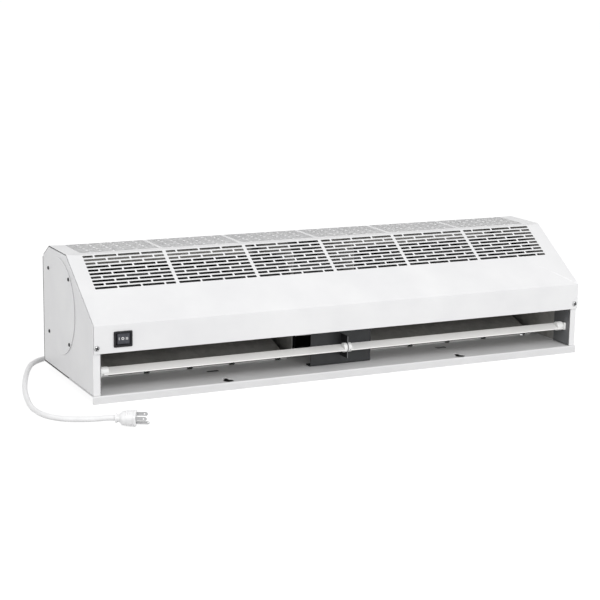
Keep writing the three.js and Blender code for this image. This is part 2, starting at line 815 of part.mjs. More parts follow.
/** Motor can with stepped end bells, bored right through for its double shaft. */
function motor() {
  const bore = boreRadius(SHAFT_R, SHAFT_RUN, SHAFT_SIDES);
  const halfL = MOTOR_L / 2;
  const endX = halfL + MOTOR_END_L;
  const half = [
    p(MOTOR_R, halfL - MOTOR_END_L),
    p(MOTOR_SHOULDER_R, halfL),
    p(MOTOR_END_R, halfL),
    p(MOTOR_END_R, endX),
    p(bore, endX),
  ];
  const mirrored = half.map((point) => p(point.x, -point.y)).reverse();
  const profile = [...mirrored, ...half, mirrored[0].clone()];
  return part('motor', turnedX(profile, ROTOR_Y, ROTOR_Z, MOTOR_SIDES), darkSteel);
}

/** Rubber ring between an end bell and its yoke. */
function motorRing(name, side) {
  const x0 = CRADLE_X;
  const x1 = CRADLE_X + RING_L;
  const inner = MOTOR_END_R + SEAT_GAP;
  const outer = inner + RING_W;
  const profile = [p(inner, x0), p(outer, x0), p(outer, x1), p(inner, x1), p(inner, x0)];
  return part(name, onSide(turnedX(profile, ROTOR_Y, ROTOR_Z, MOTOR_SIDES), side), rubber);
}

/** Folded cradle on the pan: a foot plate and two yokes that hold the motor's rings. */
function motorCradle() {
  const ringR = MOTOR_END_R + RING_W + 2 * SEAT_GAP;
  const yokeTop = ROTOR_Z + ringR + YOKE_RIM;
  const halfW = CRADLE_W / 2;
  const outline = [
    p(ROTOR_Y - halfW, SEAT_GAP),
    p(ROTOR_Y + halfW, SEAT_GAP),
    p(ROTOR_Y + ringR + YOKE_RIM, ROTOR_Z),
    p(ROTOR_Y + ringR + YOKE_RIM, yokeTop - YOKE_RIM),
    p(ROTOR_Y + ringR - YOKE_RIM, yokeTop),
    p(ROTOR_Y - ringR + YOKE_RIM, yokeTop),
    p(ROTOR_Y - ringR - YOKE_RIM, yokeTop - YOKE_RIM),
    p(ROTOR_Y - ringR - YOKE_RIM, ROTOR_Z),
  ];
  const bore = circle(ROTOR_Y, ROTOR_Z, boreRadius(ringR, 0, MOTOR_SIDES), MOTOR_SIDES);
  const x0 = CRADLE_X + (RING_L - CRADLE_T) / 2;
  const x1 = x0 + CRADLE_T;
  const right = prismX(polygon(outline, [bore]), x0, x1);
  const [y0, y1] = [ROTOR_Y - halfW, ROTOR_Y + halfW];
  const foot = box(-x1, x1, y0, y1, SEAT_GAP, SEAT_GAP + CRADLE_T);
  return part('motor_cradle', join(right, onSide(right, -1), foot), darkSteel);
}

/** Shield plate in front of the motor, with its foot and the tab that carries the vane. */
function motorShield() {
  const halfW = SHIELD_W / 2;
  const backY = SHIELD_Y + SHIELD_T;
  const plate = box(-halfW, halfW, SHIELD_Y, backY, SEAT_GAP, SHIELD_H);
  const footY = backY + SHIELD_FOOT;
  const foot = box(-halfW, halfW, SHIELD_Y, footY, SEAT_GAP, SEAT_GAP + SHIELD_T);
  const head = box(-halfW, halfW, SHIELD_Y, footY, SHIELD_H - SHIELD_T, SHIELD_H);
  const halfT = SHIELD_T / 2;
  const tabOutline = [
    p(SHIELD_Y + halfT, TAB_LOW_Z),
    p(SHIELD_Y + halfT, TAB_HIGH_Z),
    p(TAB_FRONT_Y, TAB_HIGH_Z),
    p(TAB_FRONT_Y, TAB_LOW_Z),
  ];
  const pinHole = circle(VANE_Y, VANE_Z, boreRadius(VANE_PIN_R, PIN_RUN, PIN_SIDES), PIN_SIDES);
  const tab = prismX(polygon(tabOutline, [pinHole]), -halfT, halfT);
  return part('motor_shield', join(plate, foot, head, tab), darkSteel);
}

/** Upright run capacitor in a rounded case with two terminals. */
function capacitor() {
  const { x, y } = CAPACITOR_PLACE;
  const halfL = CAPACITOR.x / 2;
  const halfW = CAPACITOR.y / 2;
  const corner = CAPACITOR_CORNER;
  const outline = [
    p(x - halfL + corner, y - halfW),
    p(x + halfL - corner, y - halfW),
    p(x + halfL, y - halfW + corner),
    p(x + halfL, y + halfW - corner),
    p(x + halfL - corner, y + halfW),
    p(x - halfL + corner, y + halfW),
    p(x - halfL, y + halfW - corner),
    p(x - halfL, y - halfW + corner),
  ];
  const top = SEAT_GAP + CAPACITOR.z;
  const terminal = (offset) => box(
    x + offset - TERMINAL_TAB_W / 2,
    x + offset + TERMINAL_TAB_W / 2,
    y - TERMINAL_TAB_T / 2,
    y + TERMINAL_TAB_T / 2,
    top - TERMINAL_TAB_T,
    top + TERMINAL_TAB_L,
  );
  const body = prismZ(polygon(outline), SEAT_GAP, top);
  const whole = join(body, terminal(-halfL / 2), terminal(halfL / 2));
  return part('capacitor', whole, blackPlastic);
}

/** Terminal block for the mains lead, with one stepped pole for each conductor. */
function terminalBlock() {
  const { x, y } = TERMINAL_PLACE;
  const halfL = TERMINAL.x / 2;
  const halfW = TERMINAL.y / 2;
  const top = SEAT_GAP + TERMINAL.z;
  const pole = TERMINAL.x / TERMINAL_POLES;
  const wells = [];
  for (let i = 0; i < TERMINAL_POLES; i += 1) {
    const well = polygon(circle(x - halfL + pole * (i + 0.5), y, TERMINAL_WELL_R, 8));
    wells.push(prismZ(well, top - TERMINAL_WELL_D, top + TERMINAL_WELL_D));
  }
  const body = box(x - halfL, x + halfL, y - halfW, y + halfW, SEAT_GAP, top);
  return part('terminal_block', cut(body, ...wells), whitePlastic);
}

// ---------------------------------------------------------------- air vane

/** Blade section: a thin plate with rounded long edges, its rear edge raised as it rests. */
function vaneSection(grow) {
  const radius = VANE_T / 2 + grow;
  const reach = VANE_HALF - VANE_T / 2;
  const level = [...arc(reach, 0, radius, -90, 90, 4), ...arc(-reach, 0, radius, 90, 270, 4)];
  const pivot = p(VANE_Y, VANE_Z);
  return polygon(level.map((point) => point.rotateAround(p(0, 0), VANE_REST_DEG * RAD).add(pivot)));
}

function vaneBlade(name, side) {
  return part(name, onSide(prismX(vaneSection(0), CLIP_DISC_X + SEAT_GAP, VANE_END_X), side), paint);
}

/** Room for a blade's end between the jaws of a clip. */
function bladeRoom(x0, x1) {
  return prismX(vaneSection(SEAT_GAP), x0, x1);
}

/** End clip: round jaws over the blade's end and the pin that turns in the wall bracket. */
function vaneClip(name, side) {
  const jawX = VANE_END_X - CLIP_W;
  const discX = VANE_END_X + SEAT_GAP + CLIP_WALL;
  const pinX = OPENING_X - 2 * SEAT_GAP;
  const profile = [
    p(0, jawX),
    p(CLIP_R, jawX),
    p(CLIP_R, discX),
    p(VANE_PIN_R, discX),
    p(VANE_PIN_R, pinX),
    p(0, pinX),
  ];
  const clip = turnedX(profile, VANE_Y, VANE_Z, CLIP_SIDES);
  const room = bladeRoom(jawX - 1, VANE_END_X + SEAT_GAP);
  return part(name, onSide(cut(clip, room), side), whitePlastic);
}

/** Centre clip: jaws for both blades and the pin through the shield's tab. */
function vaneCentreClip() {
  const gap = SHIELD_T / 2 + SEAT_GAP;
  const jawX = CLIP_DISC_X + CENTRE_JAW;
  const half = [p(VANE_PIN_R, gap), p(CLIP_R, gap), p(CLIP_R, jawX), p(0, jawX)];
  const mirrored = half.map((point) => p(point.x, -point.y)).reverse();
  const clip = turnedX([...mirrored, ...half], VANE_Y, VANE_Z, CLIP_SIDES);
  const body = cut(
    clip,
    bladeRoom(CLIP_DISC_X, jawX + 1),
    bladeRoom(-jawX - 1, -CLIP_DISC_X),
  );
  return part('vane_centre_clip', body, whitePlastic);
}

/** Plastic bracket on the outlet's side wall, bored for an end clip's pin. */
function vaneBracket(name, side) {
  const x0 = VANE_END_X + 2 * SEAT_GAP + CLIP_WALL;
  const halfH = PIN_BLOCK_H / 2;
  const outline = [
    p(VANE_Y - PIN_BLOCK_D, VANE_Z - halfH),
    p(VANE_Y + PIN_BLOCK_NOSE, VANE_Z - PIN_BLOCK_NOSE_H / 2),
    p(VANE_Y + PIN_BLOCK_NOSE, VANE_Z + PIN_BLOCK_NOSE_H / 2),
    p(VANE_Y - PIN_BLOCK_D, VANE_Z + halfH),
  ];
  const bore = circle(VANE_Y, VANE_Z, boreRadius(VANE_PIN_R, PIN_RUN, PIN_SIDES), PIN_SIDES);
  const body = prismX(polygon(outline, [bore]), x0, OPENING_X - SEAT_GAP);
  return part(name, onSide(body, side), whitePlastic);
}

// ---------------------------------------------------------------- switch

/** Outline of the switch in (x, z), grown or shrunk from its bezel. */
function switchOutline(grow) {
  const halfW = BEZEL_W / 2 + grow;
  const halfH = BEZEL_H / 2 + grow;
  return polygon([
    p(SWITCH_X - halfW, SWITCH_Z - halfH),
    p(SWITCH_X + halfW, SWITCH_Z - halfH),
    p(SWITCH_X + halfW, SWITCH_Z + halfH),
    p(SWITCH_X - halfW, SWITCH_Z + halfH),
  ]);
}

/** Bezel on the cover's face and the body behind it, hollow for the rocker. */
function switchBody() {
  const bodyGrow = -CUTOUT_MARGIN - SEAT_GAP;
  const roomGrow = -CUTOUT_MARGIN - BEZEL_WALL;
  const bezelY = -SEAT_GAP - BEZEL_PROUD;
  const bezel = prismY(switchOutline(0), bezelY, -SEAT_GAP);
  const body = prismY(switchOutline(bodyGrow), bezelY + BEZEL_PROUD / 2, SWITCH_BODY_D);
  const room = prismY(switchOutline(roomGrow), bezelY - 1, SWITCH_BODY_D - BEZEL_WALL);
  const pinR = boreRadius(ROCKER_PIN_R, PIN_RUN, PIN_SIDES);
  const pinBore = prismZ(
    polygon(circle(SWITCH_X, ROCKER_PIN_Y, pinR, PIN_SIDES)),
    SWITCH_Z - BEZEL_H / 2,
    SWITCH_Z + BEZEL_H / 2,
  );
  const tabs = [-1, 0, 1].map((i) => box(
    SWITCH_X + i * SWITCH_TAB_PITCH - TERMINAL_TAB_T / 2,
    SWITCH_X + i * SWITCH_TAB_PITCH + TERMINAL_TAB_T / 2,
    SWITCH_BODY_D - 1,
    SWITCH_BODY_D + TERMINAL_TAB_L,
    SWITCH_Z - TERMINAL_TAB_W / 2,
    SWITCH_Z + TERMINAL_TAB_W / 2,
  ));
  return part('switch_body', join(cut(join(bezel, body), room, pinBore), ...tabs), blackPlastic);
}

/** Rocker with raised ends and its two pins, turning about an upright line. */
function rocker() {
  const halfW = BEZEL_W / 2 - CUTOUT_MARGIN - BEZEL_WALL - ROCKER_SIDE_GAP;
  const halfH = BEZEL_H / 2 - CUTOUT_MARGIN - BEZEL_WALL - ROCKER_CLEARANCE;
  const outline = [
    p(-halfW, ROCKER_END_Y),
    p(0, ROCKER_END_Y + ROCKER_DISH),
    p(halfW, ROCKER_END_Y),
    p(halfW, ROCKER_PIN_Y),
    p(ROCKER_KEEL_W / 2, ROCKER_PIN_Y + ROCKER_KEEL),
    p(-ROCKER_KEEL_W / 2, ROCKER_PIN_Y + ROCKER_KEEL),
    p(-halfW, ROCKER_PIN_Y),
  ].map((point) => p(point.x + SWITCH_X, point.y));
  const body = prismZ(polygon(outline), SWITCH_Z - halfH, SWITCH_Z + halfH);
  const pinH = halfH + ROCKER_CLEARANCE + ROCKER_PIN_REACH;
  const pin = prismZ(
    polygon(circle(SWITCH_X, ROCKER_PIN_Y, ROCKER_PIN_R, PIN_SIDES)),
    SWITCH_Z - pinH,
    SWITCH_Z + pinH,
  );
  return part('rocker', join(body, pin), blackPlastic);
}

// ---------------------------------------------------------------- mains lead

/** Flexible gland snapped into the back panel, tapering to the cord. */
function cordGland() {
  const inner = DEPTH - SHEET - SEAT_GAP;
  const outer = DEPTH + SEAT_GAP;
  const profile = [
    p(0, inner - GLAND_FLANGE_T),
    p(GLAND_NUT_R, inner - GLAND_FLANGE_T),
    p(GLAND_NUT_R, inner),
    p(GLAND_NECK_R, inner),
    p(GLAND_NECK_R, outer),
    p(GLAND_R, outer),
    p(GLAND_R, outer + GLAND_FLANGE_T),
    p(GLAND_TAIL_R, outer + GLAND_FLANGE_T),
    p(GLAND_END_R, DEPTH + GLAND_TAIL),
    p(0, DEPTH + GLAND_TAIL),
  ];
  return part('cord_gland', turnedY(profile, GLAND_X, GLAND_Z, 12), vinyl);
}

/** A stretch of cord through points whose z is the height of its middle above the floor. */
function cordTube(points, steps) {
  const section = new THREE.Shape(circle(0, 0, boreRadius(CORD_R, 0, CORD_SIDES), CORD_SIDES));
  const extrudePath = new THREE.CatmullRomCurve3(points, false, 'centripetal');
  return solid(new THREE.ExtrudeGeometry(section, { steps, extrudePath, bevelEnabled: false }));
}

/** Outer shape of the coil, grown by `gap` where a cord's end has to keep clear of it. */
function coilRing(gap) {
  const wide = COIL_COLUMNS * CORD_R + gap;
  const top = COIL_LAYERS * CORD_D + gap;
  const corner = COIL_CORNER;
  const section = [
    p(COIL_MEAN_R - wide + corner, -gap),
    p(COIL_MEAN_R + wide - corner, -gap),
    p(COIL_MEAN_R + wide, corner),
    p(COIL_MEAN_R + wide, top - corner),
    p(COIL_MEAN_R + wide - corner, top),
    p(COIL_MEAN_R - wide + corner, top),
    p(COIL_MEAN_R - wide, top - corner),
    p(COIL_MEAN_R - wide, corner),
    p(COIL_MEAN_R - wide + corner, -gap),
  ];
  const ring = new THREE.LatheGeometry(section, COIL_SIDES).rotateX(Math.PI / 2);
  return solid(ring.translate(COIL_X, COIL_Y, 0));
}

/** From the gland, down over the coil's edge. */
function leadIn() {
  const exitY = DEPTH + GLAND_TAIL + SEAT_GAP;
  const exitZ = GLAND_Z - FLOOR_Z;
  return LEAD_IN.map(([out, rise]) => new THREE.Vector3(GLAND_X, exitY + out, exitZ + rise));
}

/** From the coil, along behind the housing, round its left end and up to the plug. */
function leadOut() {
  const heading = plugHeading();
  const neck = PLUG_FACE.clone().addScaledVector(heading, -PLUG_L - SEAT_GAP);
  const beforeNeck = neck.clone().addScaledVector(heading, -CORD_D);
  const tangent = COIL_Y - COIL_MEAN_R - CORD_R;
  return [
    new THREE.Vector3(COIL_X - COIL_EXIT, tangent, CORD_R),
    ...LEAD_OUT.map(([x, y, rise]) => new THREE.Vector3(x, y, CORD_R + rise)),
    beforeNeck,
    neck,
  ];
}

function plugHeading() {
  return new THREE.Vector3(Math.cos(PLUG_HEADING_DEG * RAD), Math.sin(PLUG_HEADING_DEG * RAD), 0);
}

/** Plug body along +X with its prong face at x = 0: two outlines crossed, and a ribbed neck. */
function plugBody() {
  const halfW = PLUG_W / 2;
  const halfH = PLUG_H / 2;
  const shoulder = -PLUG_BODY_L;
  const taper = shoulder - PLUG_TAPER_L;
  const round = PLUG_CORNER;
  const outline = (half) => [
    p(0, half - PLUG_RIM),
    p(-PLUG_RIM, half),
    p(shoulder, half * PLUG_WAIST_SHARE),
    p(taper, PLUG_NECK_R),
    p(taper, -PLUG_NECK_R),
    p(shoulder, -half * PLUG_WAIST_SHARE),
    p(-PLUG_RIM, -half),
    p(0, -half + PLUG_RIM),
  ];
  const top = prismZ(polygon(outline(halfW)), -PLUG_H, PLUG_H);
  const side = prismY(polygon(outline(halfH)), -PLUG_W, PLUG_W);
  const section = prismX(polygon([
    p(halfW - round, -halfH),
    p(halfW, -halfH + round),
    p(halfW, halfH - round),
    p(halfW - round, halfH),
    p(-halfW + round, halfH),
    p(-halfW, halfH - round),
    p(-halfW, -halfH + round),
    p(-halfW + round, -halfH),
  ]), -PLUG_L, 0);
  const neck = turnedX([
    p(0, -PLUG_L),
    p(PLUG_COLLAR_R, -PLUG_L),
    p(PLUG_COLLAR_R, -PLUG_L + PLUG_COLLAR_T),
    p(PLUG_NECK_R, -PLUG_L + PLUG_COLLAR_T),
    p(PLUG_NECK_R, taper + 1),
    p(0, taper + 1),
  ], 0, 0, 16);
  return part('plug_body', join(top.intersect(side).intersect(section), neck), vinyl);
}

function plugBlade(name, side) {
  const y = (side * PRONG_SPACING) / 2;
  const low = PRONG_RISE - PRONG_W / 2;
  const high = PRONG_RISE + PRONG_W / 2;
  const blade = prismY(polygon([
    p(SEAT_GAP, low),
    p(PRONG_L - PRONG_NOSE, low),
    p(PRONG_L, low + PRONG_NOSE),
    p(PRONG_L, high - PRONG_NOSE),
    p(PRONG_L - PRONG_NOSE, high),
    p(SEAT_GAP, high),
  ]), y - PRONG_T / 2, y + PRONG_T / 2);
  return part(name, blade, nickel);
}

function groundPin() {
  const tip = PRONG_L + GROUND_EXTRA;
  const profile = [
    p(0, SEAT_GAP),
    p(GROUND_R, SEAT_GAP),
    p(GROUND_R, tip - GROUND_R),
    p(GROUND_TIP_R, tip - GROUND_TIP_L),
    p(0, tip),
  ];
  return part('plug_ground_pin', turnedX(profile, 0, PRONG_RISE - GROUND_DROP, 12), nickel);
}

/** The plug and its prongs, lying on the floor rolled a little towards one side. */
function plug() {
  const group = new THREE.Group();
  group.add(
    plugBody(),
    plugBlade('plug_blade_neutral', 1),
    plugBlade('plug_blade_line', -1),
    groundPin(),
  );
  group.rotation.set(PLUG_ROLL_DEG * RAD, 0, PLUG_HEADING_DEG * RAD, 'ZYX');
  group.position.copy(PLUG_FACE);
  return group;
}

/** Everything on the lead that lies on the floor, with z measured from the floor. */
function leadOnFloor() {
  const group = new THREE.Group();
  const clearance = coilRing(SEAT_GAP);
  group.add(
    part('cord_lead_in', cut(cordTube(leadIn(), LEAD_IN_STEPS), clearance), vinyl),
    part('cord_coil', coilRing(0), vinyl),
    part('cord_lead_out', cut(cordTube(leadOut(), LEAD_OUT_STEPS), clearance), vinyl),
    plug(),
  );
  group.position.z = FLOOR_Z;
  return group;
}

// ---------------------------------------------------------------- assembly

function airCurtain() {
  const model = new THREE.Group();
  model.add(basePan(), backPanel(), cover());
  for (const [word, side] of [['left', -1], ['right', 1]]) {
    model.add(
      endPlate(`end_plate_${word}`, side),
      accessCover(`access_cover_${word}`, side),
      coverScrew(`cover_screw_${word}`, side),
      scroll(`scroll_${word}`, side),
      tongue(`throat_tongue_${word}`, side),
      casingSide(`casing_side_outer_${word}`, side, false),
      casingSide(`casing_side_inner_${word}`, side, true),
      bearing(`bearing_${word}`, side),
      wheel(`wheel_${word}`, side),
      motorRing(`motor_ring_${word}`, side),
      vaneBlade(`vane_${word}`, side),
      vaneClip(`vane_clip_${word}`, side),
      vaneBracket(`vane_bracket_${word}`, side),
    );
    discScrewPlaces().forEach((place, i) => {
      model.add(discScrew(`access_screw_${word}_${i + 1}`, side, place));
    });
  }
  const stubIn = CASING_OUTER_X - WHEEL_END_GAP - SHAFT_GRIP;
  const stubOut = CASING_OUTER_X + SIDE_SHEET + SEAT_GAP + BEARING_L;
  const shaftOut = CASING_INNER_X + WHEEL_END_GAP + SHAFT_GRIP;
  model.add(
    shaft('motor_shaft', -shaftOut, shaftOut),
    shaft('stub_shaft_left', -stubOut, -stubIn),
    shaft('stub_shaft_right', stubIn, stubOut),
    motor(),
    motorCradle(),
    motorShield(),
    capacitor(),
    terminalBlock(),
    vaneCentreClip(),
    switchBody(),
    rocker(),
    cordGland(),
    leadOnFloor(),
  );
  model.position.set(0, -MIDDLE_Y, LIP_H);
  const group = new THREE.Group();
  group.add(model);
  return group;
}

const group = airCurtain();
group.updateMatrixWorld(true);

export default group;
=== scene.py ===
"""White air curtain, 36 inch class, lying on its wall side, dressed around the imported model.

Shapes are drawn in the model's own millimetres: x along the housing from its middle, y back from
the cover's front face, z up from the top of the base pan. row() carries them to metres.
"""

import math

import bmesh
import bpy
from mathutils import Matrix, Vector
from mathutils.geometry import delaunay_2d_cdt

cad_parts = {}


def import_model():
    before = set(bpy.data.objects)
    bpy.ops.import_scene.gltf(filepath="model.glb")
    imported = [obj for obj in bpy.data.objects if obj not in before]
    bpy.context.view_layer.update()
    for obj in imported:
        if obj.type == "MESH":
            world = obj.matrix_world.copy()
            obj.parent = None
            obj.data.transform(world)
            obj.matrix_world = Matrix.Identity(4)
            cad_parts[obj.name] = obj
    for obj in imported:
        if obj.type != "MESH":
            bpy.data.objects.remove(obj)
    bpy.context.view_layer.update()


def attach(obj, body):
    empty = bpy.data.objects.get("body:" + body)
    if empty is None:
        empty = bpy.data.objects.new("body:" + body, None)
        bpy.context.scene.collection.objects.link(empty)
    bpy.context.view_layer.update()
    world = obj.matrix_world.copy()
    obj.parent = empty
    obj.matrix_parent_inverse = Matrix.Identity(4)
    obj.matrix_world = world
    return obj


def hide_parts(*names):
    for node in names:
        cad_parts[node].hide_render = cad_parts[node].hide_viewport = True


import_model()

scene = bpy.context.scene

# -------- dimensions, in mm

LENGTH, DEPTH, TOP_Z, FRONT_H = 914.0, 261.0, 203.5, 113.8
SLOPE_TOP_Y, CHAMFER_Y, CHAMFER_Z = 135.4, 228.4, 183.5
SHEET, COVER_SHEET, LIP_H, MIDDLE_Y, SEAT = 1.2, 0.6, 13.0, 129.25, 0.3
OUTLET_H, OPENING_X, END_X = 68.0, 443.0, 456.0
HALF = LENGTH / 2
SIDES = (("left", -1), ("right", 1))
ROTOR_Y, ROTOR_Z = 169.7, 112.6
VANE_Y, VANE_Z = 20.5, 34.0
SWITCH_X, SWITCH_Z = -407.0, 89.5
COVER_SCREW_X, COVER_SCREW_Z, SCREW_HOLE_R = 450.2, 77.5, 2.3
CORD_D = 8.6
HOUSING = [(0, 0), (DEPTH, 0), (DEPTH, CHAMFER_Z), (CHAMFER_Y, TOP_Z), (SLOPE_TOP_Y, TOP_Z),
           (0, FRONT_H)]


def row(x, y, z):
    """A point of the model's millimetres in the row frame, in metres."""
    return Vector((x, y - MIDDLE_Y, z + LIP_H)) / 1000


# -------- camera

YAW, PITCH, ROLL = math.radians(25.99), math.radians(11.89), math.radians(0.86)
FOCAL_PX, PHOTO_PX, SENSOR_MM = 1608.0, 600.0, 36.0
EYE = (-1.23425, -2.45797, 0.68597)

camera_data = bpy.data.cameras.new("camera")
camera = bpy.data.objects.new("camera", camera_data)
scene.collection.objects.link(camera)
scene.camera = camera
camera_data.sensor_width = SENSOR_MM
camera_data.lens = FOCAL_PX / PHOTO_PX * SENSOR_MM
camera_data.clip_start, camera_data.clip_end = 0.05, 200.0
forward = Vector((math.sin(YAW) * math.cos(PITCH), math.cos(YAW) * math.cos(PITCH), -math.sin(PITCH)))
level = Vector((math.cos(YAW), -math.sin(YAW), 0.0))
lifted = level.cross(forward)
right = math.cos(ROLL) * level + math.sin(ROLL) * lifted
upward = -math.sin(ROLL) * level + math.cos(ROLL) * lifted
rows = [(right[i], upward[i], -forward[i], EYE[i]) for i in range(3)]
camera.matrix_world = Matrix((*rows, (0.0, 0.0, 0.0, 1.0)))


# -------- materials

def new_material(name):
    """An empty material and its nodes."""
    made = bpy.data.materials.new(name)
    made.use_nodes = True
    made.node_tree.nodes.clear()
    return made, made.node_tree.nodes


def add(nodes, kind, **values):
    """A node, with its inputs set by name (spaces as underscores)."""
    node = nodes.new(kind)
    for key, value in values.items():
        if key in ("operation", "data_type"):
            setattr(node, key, value)
        else:
            node.inputs[key.replace("_", " ")].default_value = value
    return node


def join(source, target):
    """Links an output to an input of the same tree."""
    target.id_data.links.new(source, target)


def calc(nodes, operation, *terms):
    """The result of a math node whose terms are sockets or numbers."""
    node = add(nodes, "ShaderNodeMath", operation=operation)
    for socket, term in zip(node.inputs, terms):
        if isinstance(term, float):
            socket.default_value = term
        else:
            join(term, socket)
    return node.outputs[0]


def noise(nodes, coords, size_mm, detail, stretch):
    """Noise whose lumps are about size_mm across, or stretched along an axis."""
    source = coords.outputs["Object"]
    if stretch:
        mapping = add(nodes, "ShaderNodeMapping", Scale=stretch)
        join(source, mapping.inputs["Vector"])
        source = mapping.outputs["Vector"]
    node = add(nodes, "ShaderNodeTexNoise", Scale=1000.0 / size_mm, Detail=detail)
    join(source, node.inputs["Vector"])
    return node.outputs["Fac"]


def ranged(nodes, value, low, high):
    """The middle of a noise's range spread from low to high."""
    node = add(nodes, "ShaderNodeMapRange", From_Min=0.3, From_Max=0.7, To_Min=low, To_Max=high)
    join(value, node.inputs["Value"])
    return node.outputs["Result"]


def tinted(nodes, value, dark, light):
    """A colour between two tones."""
    node = add(nodes, "ShaderNodeMix", data_type="RGBA")
    for socket in node.inputs:
        if socket.type == "RGBA":
            socket.default_value = (*(dark if socket.name == "A" else light), 1.0)
    join(value, node.inputs["Factor"])
    return next(s for s in node.outputs if s.type == "RGBA")


def surface(name, dark, light, patch_mm, rough, grain_mm, relief_mm, metal=0.0, spread=0.06,
            stretch=None, specular=0.5, extra=None):
    """A finish: colour drifting between two tones, uneven gloss and a fine raised grain."""
    made, nodes = new_material(name)
    coords = add(nodes, "ShaderNodeTexCoord")
    shader = add(nodes, "ShaderNodeBsdfPrincipled", Metallic=metal, Specular_IOR_Level=specular)
    out = add(nodes, "ShaderNodeOutputMaterial")
    join(shader.outputs["BSDF"], out.inputs["Surface"])
    drift = noise(nodes, coords, patch_mm, 3.0, stretch)
    if extra:
        drift = extra(nodes, coords, drift)
    join(tinted(nodes, ranged(nodes, drift, 0.0, 1.0), dark, light),
              shader.inputs["Base Color"])
    uneven = noise(nodes, coords, patch_mm * 0.37, 4.0, stretch)
    join(ranged(nodes, uneven, rough - spread, rough + spread), shader.inputs["Roughness"])
    grain = noise(nodes, coords, grain_mm, 2.0, stretch)
    bump = add(nodes, "ShaderNodeBump", Strength=1.0, Distance=relief_mm / 1000)
    join(grain, bump.inputs["Height"])
    join(bump.outputs["Normal"], shader.inputs["Normal"])
    return made


SPANGLE_MM, SPANGLE_SHARE, SPANGLE_SHIFT = 9.0, 0.35, 0.17


def spangle(nodes, coords, drift):
    """Zinc crystals: flat cells of slightly different grey over the drift."""
    cells = add(nodes, "ShaderNodeTexVoronoi", Scale=1000.0 / SPANGLE_MM)
    join(coords.outputs["Object"], cells.inputs["Vector"])
    channels = nodes.new("ShaderNodeSeparateColor")
    join(cells.outputs["Color"], channels.inputs["Color"])
    blend = calc(nodes, "MULTIPLY_ADD", channels.outputs["Red"], SPANGLE_SHARE, drift)
    return calc(nodes, "SUBTRACT", blend, SPANGLE_SHIFT)


powder = surface("white_powder_coat", (0.80, 0.80, 0.81), (0.86, 0.86, 0.865), 90.0, 0.42, 1.1, 0.02)
# a darker copy of the white powder coat: painted shade on the base pan and its lips
pan_powder_painted_shade = surface("base_powder_coat_painted_shade", (0.73, 0.73, 0.735), (0.78, 0.78, 0.785), 90.0, 0.42, 1.1, 0.02)
blade_paint = surface("vane_paint", (0.94, 0.935, 0.92), (0.97, 0.965, 0.95), 60.0, 0.38, 1.0, 0.012)
zinc = surface("galvanised_sheet", (0.40, 0.392, 0.375), (0.49, 0.48, 0.46), 45.0, 0.55, 0.7, 0.006,
               metal=0.15, spread=0.08, extra=spangle)
# near-white tone on sheared steel edges: a bare cut edge, brightened as a painted highlight
painted_edge_highlight = surface("sheared_edge_with_painted_highlight", (0.80, 0.80, 0.79), (0.90, 0.90, 0.89), 8.0, 0.40, 0.4, 0.003,
                      metal=0.1)
# near-black painted shade for inner faces, slot walls and notch walls of the white and galvanised sheets
painted_shade = surface("inner_painted_shade", (0.02, 0.02, 0.021), (0.034, 0.034, 0.035), 40.0, 0.62, 0.9, 0.015)
# mid grey: painted shade on the outlet's return walls, and a dim painted highlight on the shield tab's
# front edge
shade_and_glint_grey = surface("painted_shade_and_glint_grey", (0.15, 0.153, 0.16), (0.19, 0.193, 0.20), 30.0, 0.50, 0.9, 0.01)
# dark grey painted shade for the gap where the cover's ends meet the end plates
painted_gap_shade = surface("cover_end_painted_shade", (0.10, 0.10, 0.105), (0.15, 0.15, 0.155), 6.0, 0.50, 0.5, 0.01)
# dark painted steel of the shield, motor, cradle and screws, also used as painted shade in the cover
# screws' cross recess
dark_steel_and_recess_shade = surface("dark_painted_steel", (0.016, 0.0175, 0.019), (0.025, 0.027, 0.029), 35.0, 0.48,
                     0.8, 0.015)
# the wheel's own black, also used as painted shade on the sides of the shield's tab
wheel_black_and_tab_shade = surface("wheel_black_and_tab_shade", (0.012, 0.012, 0.013), (0.022, 0.022, 0.023), 25.0, 0.40,
                      0.6, 0.010)
nickel = surface("nickel_plated_steel", (0.40, 0.402, 0.406), (0.54, 0.542, 0.546), 12.0, 0.26,
                 0.5, 0.003, metal=1.0, stretch=(1.0, 1.0, 3.0))
black_plastic = surface("black_plastic", (0.006, 0.006, 0.008), (0.010, 0.0105, 0.013), 15.0, 0.42,
                        0.35, 0.010, specular=0.3)
rocker_plastic = surface("rocker_plastic", (0.052, 0.055, 0.066), (0.080, 0.083, 0.096), 5.0, 0.45,
                         0.3, 0.016, specular=0.3)
mark_paint = surface("mark_paint", (0.72, 0.72, 0.72), (0.82, 0.82, 0.82), 4.0, 0.50, 0.2, 0.004)
white_plastic = surface("white_plastic", (0.84, 0.84, 0.83), (0.89, 0.89, 0.885), 14.0, 0.30, 0.5, 0.006)
vinyl = surface("cord_vinyl", (0.88, 0.88, 0.885), (0.93, 0.93, 0.935), 22.0, 0.44, 0.45, 0.012)
rubber = surface("rubber", (0.012, 0.012, 0.012), (0.022, 0.022, 0.022), 12.0, 0.72, 0.6, 0.02)
brass = surface("brass", (0.58, 0.42, 0.17), (0.70, 0.52, 0.24), 10.0, 0.30, 0.5, 0.003, metal=1.0)


# -------- mesh helpers

def clean(bm):
    bmesh.ops.remove_doubles(bm, verts=bm.verts, dist=1e-4)
    bmesh.ops.recalc_face_normals(bm, faces=bm.faces)


def as_mesh(bm, name):
    """The bmesh as a mesh; the bmesh is used up."""
    mesh = bpy.data.meshes.new(name)
    bm.to_mesh(mesh)
    bm.free()
    return mesh


